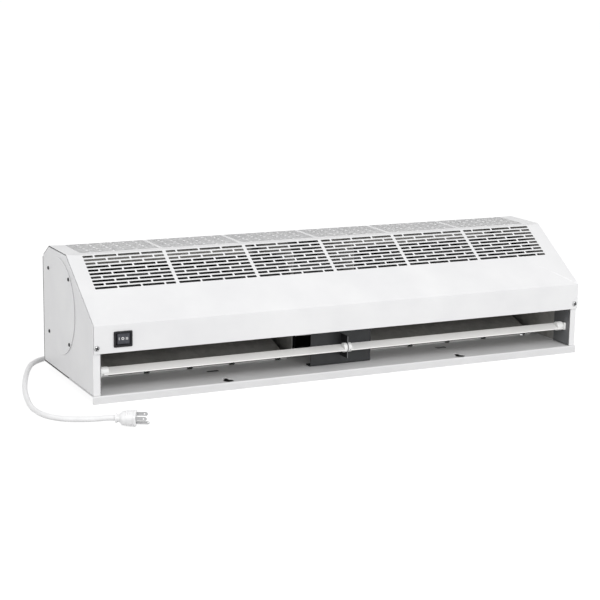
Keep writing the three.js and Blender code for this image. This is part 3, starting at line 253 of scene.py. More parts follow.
def piece(name, bm, finish, stands_for=(), body="housing", smooth_deg=32.0):
    """A mesh in model millimetres becomes a finished piece on its body."""
    clean(bm)
    limit = math.radians(smooth_deg)
    for face in bm.faces:
        face.smooth = True
    for edge in bm.edges:
        edge.smooth = len(edge.link_faces) == 2 and edge.calc_face_angle(0.0) < limit
    for vert in bm.verts:
        vert.co = row(*vert.co)
    return finished(bpy.data.objects.new(name, as_mesh(bm, name)), finish, body, stands_for)


def paint_faces(obj, test, finish):
    """Another finish on the faces whose middle, in metres, and normal pass the test; used mostly for
    painted shade and painted highlights.
    """
    obj.data.materials.append(finish)
    for face in obj.data.polygons:
        if test(face.center, face.normal):
            face.material_index = len(obj.data.materials) - 1


def finished(obj, finish, body, stands_for):
    scene.collection.objects.link(obj)
    obj.data.materials.append(finish)
    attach(obj, body)
    if stands_for:
        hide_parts(*stands_for)
    return obj


def merged(*meshes):
    """Several bmeshes as one."""
    whole = meshes[0]
    for other in meshes[1:]:
        mesh = as_mesh(other, "part")
        whole.from_mesh(mesh)
        bpy.data.meshes.remove(mesh)
    return whole


def carved(body, tool, operation="DIFFERENCE"):
    """body cut by, or joined to, tool."""
    objects = []
    for bm in (body, tool):
        clean(bm)
        objects.append(bpy.data.objects.new("carve", as_mesh(bm, "carve")))
        scene.collection.objects.link(objects[-1])
    modifier = objects[0].modifiers.new("cut", "BOOLEAN")
    modifier.object, modifier.operation, modifier.solver = objects[1], operation, "EXACT"
    bpy.context.view_layer.update()
    evaluated = objects[0].evaluated_get(bpy.context.evaluated_depsgraph_get())
    result = bmesh.new()
    result.from_mesh(evaluated.data)
    for obj in objects:
        mesh = obj.data
        bpy.data.objects.remove(obj)
        bpy.data.meshes.remove(mesh)
    return result


def area(loop):
    """The area of an outline, below 0 if it runs clockwise."""
    return sum(a[0] * b[1] - b[0] * a[1] for a, b in zip(loop, loop[1:] + loop[:1])) / 2


def inset(loop, distance):
    """A closed outline moved to its left."""
    out = []
    for a, b, c in zip(loop[-1:] + loop, loop, loop[1:] + loop[:1]):
        b = Vector(b)
        one, two = (b - Vector(a)).normalized(), (Vector(c) - b).normalized()
        left = Vector((-one.y - two.y, one.x + two.x)).normalized()
        out.append(tuple(b + left * (distance / (left.x * -one.y + left.y * one.x))))
    return out


def split(loop, lines):
    """The outline with a corner added wherever it crosses one of the lines v = constant."""
    out = []
    for a, b in zip(loop, loop[1:] + loop[:1]):
        out.append(a)
        low, high = min(a[1], b[1]) + 1e-6, max(a[1], b[1]) - 1e-6
        hits = sorted((v for v in lines if low < v < high), reverse=a[1] > b[1])
        out += [(a[0] + (b[0] - a[0]) * (v - a[1]) / (b[1] - a[1]), v) for v in hits]
    return out


def slab(outline, holes, thickness, place, edge=0.15, lines=()):
    """A flat or folded sheet: an outline with holes in (u, v); place(u, v, depth) puts its points."""
    outline = split(outline, lines)
    if area(outline) < 0:
        outline = outline[::-1]
    loops = [outline] + [h if area(h) < 0 else h[::-1] for h in holes]
    inner = [inset(loop, edge) for loop in loops] if edge else loops
    flat, faces, start = [], [], []
    for loop in inner:
        start.append(len(flat))
        order = list(range(len(flat), len(flat) + len(loop)))
        faces.append(order[::-1] if faces else order)
        flat += [Vector(q) for q in loop]
    folds = []
    for v in lines:
        on_line = sorted((i for i in faces[0] if abs(flat[i].y - v) < 1e-6), key=lambda i: flat[i].x)
        folds += [(a, b) for a, b in zip(on_line[::2], on_line[1::2])]
    points, _, triangles, origin, _, inside = delaunay_2d_cdt(flat, folds, faces, 1, 1e-7)
    bm = bmesh.new()

    def layer(depth):
        """One face of the sheet; returns the vertex that stands for each outline point."""
        verts = [bm.verts.new(place(q.x, q.y, depth)) for q in points]
        for triangle, owners in zip(triangles, inside):
            if not any(owner > 0 for owner in owners):
                bm.faces.new([verts[i] for i in triangle])
        known = {}
        for vert, sources in zip(verts, origin):
            for source in sources:
                known[source] = vert
        for vert in verts:
            if not vert.link_faces:
                bm.verts.remove(vert)
        return known

    top, bottom = layer(0.0), layer(thickness)
    for loop, first in zip(loops, start):
        count = len(loop)
        rings = [[top[first + i] for i in range(count)]]
        if edge:
            for depth in (edge, thickness - edge):
                rings.append([bm.verts.new(place(u, v, depth)) for u, v in loop])
        rings.append([bottom[first + i] for i in range(count)])
        stitch(bm, rings)
    return bm


def stitch(bm, rings, closed=True):
    """Quads between neighbouring rings of vertices."""
    for one, two in zip(rings, rings[1:]):
        count = len(one)
        for i in range(count if closed else count - 1):
            j = (i + 1) % count
            corners = []
            for vert in (one[i], one[j], two[j], two[i]):
                if vert not in corners:
                    corners.append(vert)
            if len(corners) > 2:
                bm.faces.new(corners)


class Fold:
    """A bent line in (y, z). A distance along its sharp corners and a depth give a point."""

    def __init__(self, points, inner_radius, side=1, sheet=SHEET, steps=6):
        self.points = [Vector(q) for q in points]
        self.side, self.steps = side, steps
        self.runs = [(b - a).normalized() for a, b in zip(self.points, self.points[1:])]
        self.at = [0.0]
        for a, b in zip(self.points, self.points[1:]):
            self.at.append(self.at[-1] + (b - a).length)
        self.bends = []
        for i in range(1, len(self.points) - 1):
            one, two = self.runs[i - 1], self.runs[i]
            turn = math.atan2(one.x * two.y - one.y * two.x, one.dot(two))
            radius = inner_radius + (sheet if turn * side < 0 else 0.0) if inner_radius else 0.0
            self.bends.append((self.at[i], radius * math.tan(abs(turn) / 2), turn, radius, i))
        self.length = self.at[-1]

    def lines(self):
        """Distances at which the flat sheet needs an edge to bend well."""
        found = []
        for s, reach, _, radius, _ in self.bends:
            if not radius:
                found.append(s)
                continue
            found += [s - reach - 0.3, s + reach + 0.3]
            found += [s - reach + 2 * reach * k / self.steps for k in range(self.steps + 1)]
        return sorted(found)

    def __call__(self, s, depth):
        for at, reach, turn, radius, i in self.bends:
            if radius and abs(s - at) < reach:
                start = self.points[i] - self.runs[i - 1] * reach
                sign = 1.0 if turn > 0 else -1.0
                out = Vector((-self.runs[i - 1].y, self.runs[i - 1].x)) * sign
                angle = turn * (s - at + reach) / (2 * reach)
                turned = Matrix.Rotation(angle, 2) @ (-out)
                inward = Matrix.Rotation(angle, 2) @ self.normal(i - 1)
                return start + out * radius + turned * radius + inward * depth
            if not radius and abs(s - at) < 1e-6:
                mean = (self.normal(i - 1) + self.normal(i)).normalized()
                return self.points[i] + mean * (depth / math.cos(turn / 2))
        j = max(i for i in range(len(self.runs)) if self.at[i] <= s + 1e-9 or i == 0)
        return self.points[j] + self.runs[j] * (s - self.at[j]) + self.normal(j) * depth

    def normal(self, j):
        run = self.runs[j]
        return Vector((run.y, -run.x)) * self.side


def folded(fold, outline, holes=(), thickness=SHEET, edge=0.15, side=1):
    """A folded sheet whose outline is drawn flat, as (x, distance along the fold)."""
    return slab(outline, list(holes), thickness, lambda u, s, t: (side * u, *fold(s, t)), edge,
                fold.lines())


def across(x0, outline, holes, thickness, edge=0.3, side=1):
    """A plate across X: an outline in (y, z), from x = x0 outward."""
    return slab(outline, list(holes), thickness, lambda u, v, t: (side * (x0 + t), u, v), edge)


def along_y(y0):
    """place() of a plate that stands along X and Z, from y = y0 on."""
    return lambda u, v, t: (u, y0 + t, v)


def along_z(z0):
    """place() of a plate that lies along X and Y, from z = z0 on."""
    return lambda u, v, t: (u, v, z0 + t)


def rectangle(u0, u1, v0, v1):
    return [(u0, v0), (u1, v0), (u1, v1), (u0, v1)]


def around(u, v, half_u, half_v):
    """A rectangle from its middle and half its sides."""
    return rectangle(u - half_u, u + half_u, v - half_v, v + half_v)


def rounded(outline, radius, steps=4):
    """The outline with its corners rounded."""
    out = []
    for i, corner in enumerate(outline):
        b = Vector(corner)
        one = (Vector(outline[i - 1]) - b).normalized()
        two = (Vector(outline[(i + 1) % len(outline)]) - b).normalized()
        half = one.angle(two) / 2
        reach, middle = radius / math.tan(half), (one + two).normalized() * (radius / math.sin(half))
        start, end = one * reach - middle, two * reach - middle
        sweep = math.atan2(start.x * end.y - start.y * end.x, start.dot(end))
        for k in range(steps + 1):
            out.append(tuple(b + middle + Matrix.Rotation(sweep * k / steps, 2) @ start))
    return out


def circle(u, v, radius, count=32, from_deg=0.0, to_deg=360.0):
    """A circle, or an arc with both its ends."""
    full = abs(to_deg - from_deg) >= 360
    last = count if full else count + 1
    angles = [math.radians(from_deg + (to_deg - from_deg) * k / count) for k in range(last)]
    return [(u + radius * math.cos(a), v + radius * math.sin(a)) for a in angles]


def lathe(profile, count=48, bm=None):
    """A round body about +X, from (radius, x) points; with a bore its profile closes."""
    bm = bm or bmesh.new()
    rings = []
    for radius, x in profile:
        if radius < 1e-6:
            rings.append([bm.verts.new((x, 0.0, 0.0))] * count)
        else:
            rings.append([bm.verts.new((x, radius * math.cos(a), radius * math.sin(a)))
                          for a in (2 * math.pi * k / count for k in range(count))])
    if profile[0][0] > 1e-6:
        rings.append(rings[0])
    stitch(bm, rings)
    return bm


def moved(bm, matrix):
    bmesh.ops.transform(bm, matrix=matrix, verts=bm.verts)
    return bm


def at(x, y, z):
    return Matrix.Translation((x, y, z))


ALONG_Y = Matrix.Rotation(math.pi / 2, 4, "Z")
ALONG_Z = Matrix.Rotation(-math.pi / 2, 4, "Y")
MIRROR_X = Matrix.Scale(-1, 4, (1, 0, 0))


def mirrored(bm, side):
    """A body drawn for the right side, or its mirror image for the left side."""
    return moved(bm, MIRROR_X) if side < 0 else bm


def both_ways(half):
    """A lathe profile whose half for x > 0 is given."""
    return [(r, -x) for r, x in reversed(half)] + half


def block(x0, x1, y0, y1, z0, z1, edge=0.3):
    """A box with small rounded edges."""
    bm = slab(rectangle(x0, x1, y0, y1), [], z1 - z0, along_z(z0), 0)
    if edge:
        bmesh.ops.remove_doubles(bm, verts=bm.verts, dist=1e-4)
        bmesh.ops.dissolve_limit(bm, angle_limit=0.02, verts=bm.verts, edges=bm.edges)
        bmesh.ops.bevel(bm, geom=bm.edges[:], offset=edge, segments=2, affect="EDGES")
    return bm


# -------- cord and plug

LEAD_IN = [(0, 0), (10, -0.6), (24, -5), (38, -13)]
LEAD_OUT = [
    (-345, 312), (-385, 312), (-418, 310.5), (-447, 301), (-471, 279), (-490, 243), (-507, 199),
    (-520, 160), (-531, 124), (-540, 88), (-547, 53), (-552, 22), (-553, -8), (-548, -38),
]
LEAD_RISING = [(-533, -66, 0.5), (-509, -90, 2.7), (-490, -107, 5.6)]
GLAND_X, GLAND_Z, GLAND_TAIL = -330.0, 22.0, 28.0
CORD_R = CORD_D / 2
COIL_MEAN_R, COIL_Y = 47.3, 363.6
COIL_X = GLAND_X + COIL_MEAN_R + CORD_R
COIL_TURNS, TURN_POINTS = 3.75, 16
PLUG_FACE = Vector((-436.6, -138.8, 13.1))
PLUG_HEADING, PLUG_ROLL, PLUG_L = math.radians(-28), math.radians(20), 31.0
heading = Vector((math.cos(PLUG_HEADING), math.sin(PLUG_HEADING), 0.0))


def on_floor(x, y, height):
    """A point given by its height over the floor, in metres."""
    return row(x, y, height - LIP_H)


def coil_points():
    """Clockwise turns from under the gland: outer upper, inner upper, inner lower, outer lower."""
    outer, inner, upper, lower = COIL_MEAN_R + CORD_R, COIL_MEAN_R - CORD_R, 3 * CORD_R, CORD_R
    stations = [(0.0, outer, upper), (0.7, outer, upper), (1.0, inner, upper), (1.7, inner, upper),
                (2.0, inner, lower), (2.7, inner, lower), (3.0, outer, lower), (COIL_TURNS, outer, lower)]
    points = []
    for k in range(int(COIL_TURNS * TURN_POINTS) + 1):
        turn = k / TURN_POINTS
        for (t0, r0, h0), (t1, r1, h1) in zip(stations, stations[1:]):
            if t0 <= turn <= t1 + 1e-9:
                share = (turn - t0) / (t1 - t0)
                share = share * share * (3 - 2 * share)
                radius, height = r0 + (r1 - r0) * share, h0 + (h1 - h0) * share
                break
        angle = math.pi - 2 * math.pi * turn
        x, y = COIL_X + radius * math.cos(angle), COIL_Y + radius * math.sin(angle)
        points.append(on_floor(x, y, height))
    return points


def cord_route():
    """Out of the gland, round the coil, and past the left end to the plug."""
    exit_y, exit_z = DEPTH + GLAND_TAIL, GLAND_Z + LIP_H
    neck = PLUG_FACE - heading * PLUG_L
    route = [on_floor(GLAND_X, exit_y + out, exit_z + rise) for out, rise in LEAD_IN]
    route += coil_points()
    route += [on_floor(x, y, CORD_R) for x, y in LEAD_OUT]
    route += [on_floor(x, y, CORD_R + rise) for x, y, rise in LEAD_RISING]
    route += [on_floor(*(neck - heading * CORD_D)), on_floor(*(neck + heading * 1.0))]
    return route


def tube(name, route, diameter_mm, finish, stands_for):
    """A round lead along one smooth open curve."""
    curve = bpy.data.curves.new(name, "CURVE")
    curve.dimensions = "3D"
    curve.bevel_depth = diameter_mm / 2000
    curve.bevel_resolution = 5
    curve.resolution_u = 8
    curve.use_fill_caps = True
    spline = curve.splines.new("BEZIER")
    spline.bezier_points.add(len(route) - 1)
    for point, place in zip(spline.bezier_points, route):
        point.co = place
        point.handle_left_type = point.handle_right_type = "AUTO"
    return finished(bpy.data.objects.new(name, curve), finish, "housing", stands_for)


def turned_plug(bm):
    """Carries a body drawn along +X with its face at x = 0 to the plug's place."""
    turn = Matrix.Rotation(PLUG_HEADING, 4, "Z") @ Matrix.Rotation(PLUG_ROLL, 4, "X")
    return moved(bm, Matrix.Translation(PLUG_FACE - Vector((0, 0, LIP_H))) @ turn)


def superellipse(half_w, half_h, power, count=48):
    """An outline between an ellipse (power 2) and a rectangle."""
    points = []
    for k in range(count):
        a = 2 * math.pi * k / count
        c, s = math.cos(a), math.sin(a)
        points.append((half_w * math.copysign(abs(c) ** (2 / power), c),
                       half_h * math.copysign(abs(s) ** (2 / power), s)))
    return points


def loft(sections, bm=None):
    """A closed body through (x, outline in (y, z)) sections of equal count."""
    bm = bm or bmesh.new()
    rings = [[bm.verts.new((x, y, z)) for y, z in outline] for x, outline in sections]
    stitch(bm, rings)
    bm.faces.new(rings[0])
    bm.faces.new(rings[-1])
    return bm


def plug_body():
    """Moulded three-pin plug: a flared grip, a rim round the face and a ribbed neck."""
    stations = [  # x, half width, half height, squareness
        (0.0, 11.2, 9.9, 3.6), (-0.6, 11.8, 10.5, 3.6), (-2.2, 12.0, 10.7, 3.6), (-2.7, 11.5, 10.2, 3.6),
        (-6.0, 11.2, 9.9, 3.4), (-11.0, 11.0, 9.5, 3.2), (-16.0, 11.1, 9.2, 3.0), (-19.5, 11.2, 9.0, 2.8),
        (-21.5, 9.9, 8.2, 2.5), (-23.5, 7.4, 7.0, 2.2), (-25.0, 6.1, 6.0, 2.0), (-26.2, 5.6, 5.6, 2.0),
        (-26.6, 6.0, 6.0, 2.0), (-27.4, 6.0, 6.0, 2.0), (-27.8, 5.6, 5.6, 2.0), (-28.4, 5.8, 5.8, 2.0),
        (-28.7, 7.3, 7.3, 2.0), (-30.7, 7.3, 7.3, 2.0), (-31.0, 6.8, 6.8, 2.0),
    ]
    body = loft([(x, superellipse(w, h, n)) for x, w, h, n in stations])
    for x in (-8.0, -11.0, -14.0):
        foot, crest = superellipse(10.4, 9.0, 3.2), superellipse(11.75, 10.2, 3.2)
        loft([(x - 0.9, foot), (x - 0.5, crest), (x + 0.5, crest), (x + 0.9, foot)], body)
    return piece("plug_shell", turned_plug(body), vinyl, ["plug_body"], smooth_deg=50)


def plug_prongs():
    """Two flat blades with their holes, and the round ground pin."""
    made = []
    for name, y in (("plug_blade_neutral", 6.35), ("plug_blade_line", -6.35)):
        low, high = 4 - 3.175, 4 + 3.175
        outline = [(0.3, low), (15.4, low), (17.0, low + 1.6), (17.0, high - 1.6), (15.4, high),
                   (0.3, high)]
        blade = slab(rounded(outline, 0.6, 3), [circle(12.2, 4.0, 1.5, 20)], 1.5,
                     lambda u, v, t, y=y: (u, y - 0.75 + t, v), 0.25)
        made.append(piece(name + "_metal", turned_plug(blade), nickel, [name]))
    profile = [(0, 0.3), (2.38, 0.3), (2.38, 16.6), (2.2, 18.0), (1.7, 19.2), (0.9, 19.8), (0, 19.98)]
    pin = moved(lathe(profile, 24), at(0, 0, 4 - 11.9))
    made.append(piece("plug_ground_pin_metal", turned_plug(pin), nickel, ["plug_ground_pin"]))
    return made


def gland():
    """Strain relief: a nut inside the panel, a flange outside it and a ribbed tail to the cord."""
    inner, outer = DEPTH - SHEET - SEAT, DEPTH + SEAT
    profile = [(0, inner - 2.5), (7.6, inner - 2.5), (8.0, inner - 2.1), (8.0, inner), (7.0, inner),
               (7.0, outer), (8.7, outer), (9.0, outer + 0.4), (9.0, outer + 2.1), (8.6, outer + 2.5),
               (6.9, outer + 2.5)]
    start, end, ribs = outer + 3.0, DEPTH + GLAND_TAIL, 6
    pitch = (end - start) / ribs
    for k in range(ribs):
        x = start + k * pitch
        radius = 6.9 - 1.8 * (k / ribs)
        profile += [(radius, x), (radius - 0.1, x + pitch * 0.55), (radius - 1.0, x + pitch * 0.6),
                    (radius - 1.05, x + pitch * 0.92)]
    profile += [(5.1, end - 0.9), (5.0, end), (0, end)]
    body = moved(lathe(profile, 40), at(GLAND_X, 0, GLAND_Z) @ ALONG_Y)
    piece("strain_relief", body, vinyl, ["cord_gland"], smooth_deg=40)


def coil_tie():
    """A flat plastic tie round the coil's turns, on the side away from the housing."""
    half_w, top = 2 * CORD_R + 0.35, 4 * CORD_R + 0.35
    section = rounded(rectangle(COIL_MEAN_R - half_w, COIL_MEAN_R + half_w, 0.0, top), 3.6, 6)
    band = slab(section, [inset(section, 0.5)], 3.6, along_y(-1.8), 0.0)
    head = block(COIL_MEAN_R - 3, COIL_MEAN_R + 3, -2.9, 2.9, top - 0.6, top + 1.6, 0.4)
    turn = at(COIL_X, COIL_Y, -LIP_H) @ Matrix.Rotation(math.radians(30), 4, "Z")
    return piece("coil_tie", moved(merged(band, head), turn), white_plastic)


route = cord_route()
cord = tube("mains_cord", route, CORD_D, vinyl, ["cord_lead_in", "cord_coil", "cord_lead_out"])
plug_pieces = [plug_body(), *plug_prongs(), coil_tie()]
gland()


# -------- housing

CASING_INNER_X, SCROLL_IN_X, SCROLL_OUT_X, SEAM_Y, RAMP_DEG = 59.0, 71.0, 431.0, 106.0, 17.5
NOTCH_R, NOTCH_END, NOTCH_STEP, SCROLL_T = 5.0, 17.0, 86.0, 2.4
SLOT_L, SLOT_H, BRIDGE, PITCH, ROWS, PER_ROW, PANELS = 37.3, 5.0, 3.0, 8.12, 10, 3, 6
PANEL_GAP, SLOPE_FIRST, TOP_FIRST = 5.9, 7.7, 12.0
KEYHOLE_XS, KEYHOLE_YS, KEYHOLE_R, NECK_R, NECK_L = (-221, 221), (13, 226), 9.0, 4.0, 14.0
END_OPENING_R, DISC_R, DISC_SCREW = 68.0, 80.9, 54.0
SLOT_SHORT = (SLOT_L - BRIDGE) / 2
PANEL_L = PER_ROW * (SLOT_L + BRIDGE) + SLOT_SHORT


def grille(first, step, start):
    """Slot outlines of one face: rows at start + step * (first + row * pitch)."""
    found = []
    for panel in range(PANELS):
        left = (panel - PANELS / 2) * (PANEL_L + PANEL_GAP) + PANEL_GAP / 2
        for line in range(ROWS):
            centre = start + step * (first + line * PITCH)
            lengths = [SLOT_L] * PER_ROW
            lengths = [SLOT_SHORT, *lengths] if line % 2 == 0 else [*lengths, SLOT_SHORT]
            x = left
            for length in lengths:
                box = rectangle(x, x + length, centre - SLOT_H / 2, centre + SLOT_H / 2)
                found.append(rounded(box, 1.1, 3))
                x += length + BRIDGE
    return found


def cover():
    """One folded sheet: front strip, slope, top and rear chamfer, with both grilles."""
    fold = Fold([(0, OUTLET_H), (0, FRONT_H), (SLOPE_TOP_Y, TOP_Z), (CHAMFER_Y, TOP_Z),
                 (DEPTH, CHAMFER_Z)], 1.2)
    slope_top = fold.at[2]
    holes = grille(SLOPE_FIRST, -1, slope_top) + grille(TOP_FIRST, 1, slope_top)
    holes.append(rounded(around(SWITCH_X, SWITCH_Z - OUTLET_H, 13.5, 10.9), 1.0))
    holes += [circle(side * COVER_SCREW_X, COVER_SCREW_Z - OUTLET_H, SCREW_HOLE_R, 16) for side in (-1, 1)]
    bm = folded(fold, rectangle(2.2 - HALF, HALF, 0, fold.length), holes, COVER_SHEET)
    sheet = piece("cover_sheet", bm, powder, ["cover"])
    end, knee = (HALF - 3.0) / 1000, row(0, 0, FRONT_H).z
    # The cover's end faces carry painted shade, standing in for the shadowed gap at the end plates.
    paint_faces(sheet, lambda middle, normal: abs(middle.x) > end and abs(normal.x) > 0.8, painted_gap_shade)
    # Inner faces of the top, slope and front strip carry painted shade.
    paint_faces(sheet, lambda middle, normal: normal.z < -0.75
              or (normal.y > 0.95 and middle.z < knee), painted_shade)


def keyhole(x, s):
    neck = math.degrees(math.asin(NECK_R / KEYHOLE_R))
    outline = circle(x, s, KEYHOLE_R, 28, 90 + neck, 450 - neck)
    return outline + circle(x, s + NECK_L, NECK_R, 10, 0, 180)


def notch_places():
    """Distances from the middle of the housing to the half-round notches of a scroll's foot."""
    span, second = SCROLL_OUT_X - SCROLL_IN_X, NOTCH_END + NOTCH_STEP
    return [SCROLL_IN_X + step for step in (NOTCH_END, second, span / 2, span - second, span - NOTCH_END)]


def base_pan():
    """Pan with a front and a rear lip, keyholes, two slots and the scrolls' notches cut through."""
    lip_x = HALF - 20
    fold = Fold([(0, -LIP_H), (0, 0), (DEPTH, 0), (DEPTH, -LIP_H)], 1.0)
    rear = fold.at[2]
    right_side = [(HALF, 0), (HALF, rear), (lip_x + 1.5, rear), (lip_x + 1.5, rear - 6),
                  (lip_x, rear - 6), (lip_x, fold.length)]
    outline = right_side + [(-u, v) for u, v in reversed(right_side)]
    holes = [keyhole(x, LIP_H + y) for x in KEYHOLE_XS for y in KEYHOLE_YS]
    holes += [rounded(around(x, LIP_H + 79.0, 10.25, 4.5), 2.5) for x in KEYHOLE_XS]
    holes += [around(side * x, LIP_H + SEAM_Y + 8.1, 4.4, 7.9) for side in (-1, 1) for x in notch_places()]

    def place(u, s, t):
        """The pan's corners stay flat beyond the ends of the rear lip."""
        if abs(u) > lip_x + 0.5 and s > rear - 20:
            return (u, s - LIP_H, -t)
        return (u, *fold(s, t))

    bm = slab(outline, holes, SHEET, place, 0.15, sorted([*fold.lines(), LIP_H + SEAM_Y + 20]))
    # The pan's white powder coat is a darker copy, as painted shade.
    sheet = piece("base_sheet", bm, pan_powder_painted_shade, ["base_pan"])
    # The pan's top behind the scrolls' seam carries painted shade.
    shade_from = row(0, SEAM_Y + 21, 0).y
    paint_faces(sheet, lambda middle, normal: middle.y > shade_from and normal.z > 0.9, painted_shade)
    end, slots, seam = (HALF - 0.5) / 1000, row(0, 70, 0).y, row(0, SEAM_Y + 18, 0).y
    # The walls of the two slots carry painted shade.
    paint_faces(sheet, lambda middle, normal: slots < middle.y < seam and abs(normal.z) < 0.5
              and abs(middle.x) < end, painted_shade)


def back_panel():
    top = 181.7
    fold = Fold([(DEPTH, 0.0), (DEPTH, top), (256.94, 184.23), (247.57, 189.98)], 0.8, side=-1)
    wall = top - 1.6
    flange, edge = OPENING_X - SEAT, END_X + 0.3
    outline = [(-edge, 0), (edge, 0), (edge, wall), (flange, wall), (flange, fold.length),
               (-flange, fold.length), (-flange, wall), (-edge, wall)]
    bm = folded(fold, outline, [circle(GLAND_X, GLAND_Z, 7.3, 32)])
    sheet = piece("back_sheet", bm, powder, ["back_panel"])
    # The panel's inner face carries painted shade.
    paint_faces(sheet, lambda middle, normal: normal.y < -0.9, painted_shade)


def end_plate(word, side):
    """Tray with rolled corners: plate, rim all round, and the return beside the outlet."""
    outer = inset(HOUSING, SHEET + SEAT + 0.5)
    outer[0] = (outer[0][0], SEAT)
    outer[1], outer[2] = (DEPTH - SHEET - SEAT, SEAT), (DEPTH - SHEET - SEAT, outer[2][1])
    bend, hole = 1.6, circle(ROTOR_Y, ROTOR_Z, END_OPENING_R, 72)
    bm = across(END_X, inset(outer, bend), [hole], -SHEET, 0, side)
    bows = [(radius * math.cos(math.pi / 2 * k / 6), radius * math.sin(math.pi / 2 * k / 6))
            for radius in (bend, bend - SHEET) for k in range(7)]
    corner = [(END_X - bend + out, bend - away) for out, away in bows]
    rim = [*corner[:7], (OPENING_X, 0.0), (OPENING_X, SHEET), *corner[:6:-1]]
    stitch(bm, [[bm.verts.new((side * x, u, v)) for u, v in inset(outer, depth)] for x, depth in rim])
    wall = across(OPENING_X, rectangle(outer[0][0], 50, SEAT, OUTLET_H + 14), [], SHEET, 0.15, side)
    # The return wall beside the outlet is mid grey: painted shade on a wall of the white end plate.
    piece("end_return_" + word, wall, shade_and_glint_grey)
    piece("end_sheet_" + word, bm, powder, ["end_plate_" + word], smooth_deg=40)


def access_cover(word, side):
    """Pressed round cover with a rolled edge."""
    holes = [circle(u, v, SCREW_HOLE_R, 16) for u, v in around(ROTOR_Y, ROTOR_Z, DISC_SCREW, DISC_SCREW)]
    bm = across(END_X + SEAT, circle(ROTOR_Y, ROTOR_Z, DISC_R, 128), holes, SHEET, 0.35, side)
    piece("access_disc_" + word, bm, powder, ["access_cover_" + word])


def phillips(head_r, head_h, shank_r, shank_l, arm_w=0.34):
    """Pan-head screw pointing to +X with its head's seat at x = 0."""
    deep, reach, half_slot = head_h * 0.06, head_r * 0.70, head_r * arm_w / 2
    profile = [(0, -head_h), (head_r * 0.45, -head_h * 0.97), (head_r * 0.75, -head_h * 0.80),
               (head_r * 0.93, -head_h * 0.48), (head_r, -head_h * 0.15), (head_r * 0.97, 0.0),
               (shank_r, 0.0), (shank_r, shank_l), (0, shank_l)]
    arms = [moved(block(-head_h - 1, -deep, -reach, reach, -half_slot, half_slot, 0),
                  Matrix.Rotation(math.radians(turn), 4, "X")) for turn in (20, 110)]
    return carved(lathe(profile, 40), carved(*arms, "UNION"))


def screws():
    """The two cover screws, with painted shade in their cross recess, and four screws round each access
    cover.
    """
    cross_r, cross_deep = 0.0034, 0.001
    for word, side in SIDES:
        place = at(side * COVER_SCREW_X, -SEAT, COVER_SCREW_Z) @ ALONG_Y
        head = piece("cover_screw_head_" + word, moved(phillips(4.6, 2.2, 2.0, 7.0, arm_w=0.46), place),
                     nickel, ["cover_screw_" + word], smooth_deg=40)
        centre = row(side * COVER_SCREW_X, 0, COVER_SCREW_Z)

        def in_shaded_recess(middle, normal, centre=centre):
            near = math.hypot(middle.x - centre.x, middle.z - centre.z) < cross_r
            wall, bottom = abs(normal.y) < 0.3, middle.y > centre.y - cross_deep
            return near and middle.y < centre.y - SEAT / 1000 and (wall or bottom)

        # The recess faces carry painted shade in dark steel.
        paint_faces(head, in_shaded_recess, dark_steel_and_recess_shade)
        turn = Matrix.Rotation(math.pi, 4, "Z") if side > 0 else Matrix.Identity(4)
        x = side * (END_X + SEAT + SHEET + SEAT)
        for i, (u, v) in enumerate([(-1, 1), (1, 1), (-1, -1), (1, -1)], 1):
            seat = at(x, ROTOR_Y + u * DISC_SCREW, ROTOR_Z + v * DISC_SCREW)
            screw = moved(phillips(3.2, 1.5, 2.0, 5.0), seat @ turn)
            name = f"access_screw_{word}_{i}"
            piece(name + "_head", screw, dark_steel_and_recess_shade, [name], smooth_deg=40)


cover()
base_pan()
back_panel()
for word, side in SIDES:
    end_plate(word, side)
    access_cover(word, side)
screws()


# -------- air path

def scroll_path():
    """The scroll's line: a flange, a spiral round the wheel and a straight ramp to the seam."""
    seam = (SEAM_Y, SEAT + SCROLL_T)
    ramp = math.radians(RAMP_DEG)
    reach = math.cos(ramp) * (ROTOR_Z - seam[1]) - math.sin(ramp) * (ROTOR_Y - seam[0])
    steps, top_deg, low_deg, top_r = 40, 48.0, RAMP_DEG - 90, 68
    spiral = []
    for i in range(steps + 1):
        share = i / steps
        angle = math.radians(top_deg + (low_deg - top_deg) * share)
        radius = top_r + (reach - top_r) * share
        spiral.append((ROTOR_Y + radius * math.cos(angle), ROTOR_Z + radius * math.sin(angle)))
    flange_y = DEPTH - SHEET - SEAT - 1.0
    return [(flange_y, spiral[0][1] + 11), (flange_y, spiral[0][1]), *spiral, seam]


def scroll(word, side):
    """Scroll sheet whose foot meets the pan in a seam with half-round notches."""
    fold = Fold(scroll_path(), 0, side=-1, sheet=SCROLL_T)
    end = fold.length
    outline = [(SCROLL_IN_X, 0), (SCROLL_OUT_X, 0), (SCROLL_OUT_X, end)]
    for x in reversed(notch_places()):
        outline += circle(x, end, NOTCH_R, 12, 0, -180)
    outline.append((SCROLL_IN_X, end))
    bm = folded(fold, outline, thickness=SCROLL_T, edge=0.1, side=side)
    sheet = piece("scroll_sheet_" + word, bm, zinc, ["scroll_" + word])
    seam_y = row(0, SEAM_Y + 6, 0).y
    # The scroll's foot edge at the seam carries a painted highlight on its sheared edge.
    paint_faces(sheet, lambda middle, normal: middle.y < seam_y and normal.y < -0.93, painted_edge_highlight)
    # The notch walls at the seam carry painted shade.
    paint_faces(sheet, lambda middle, normal: middle.y < seam_y and -0.93 <= normal.y < 0.9
              and abs(normal.z) < 0.5, painted_shade)


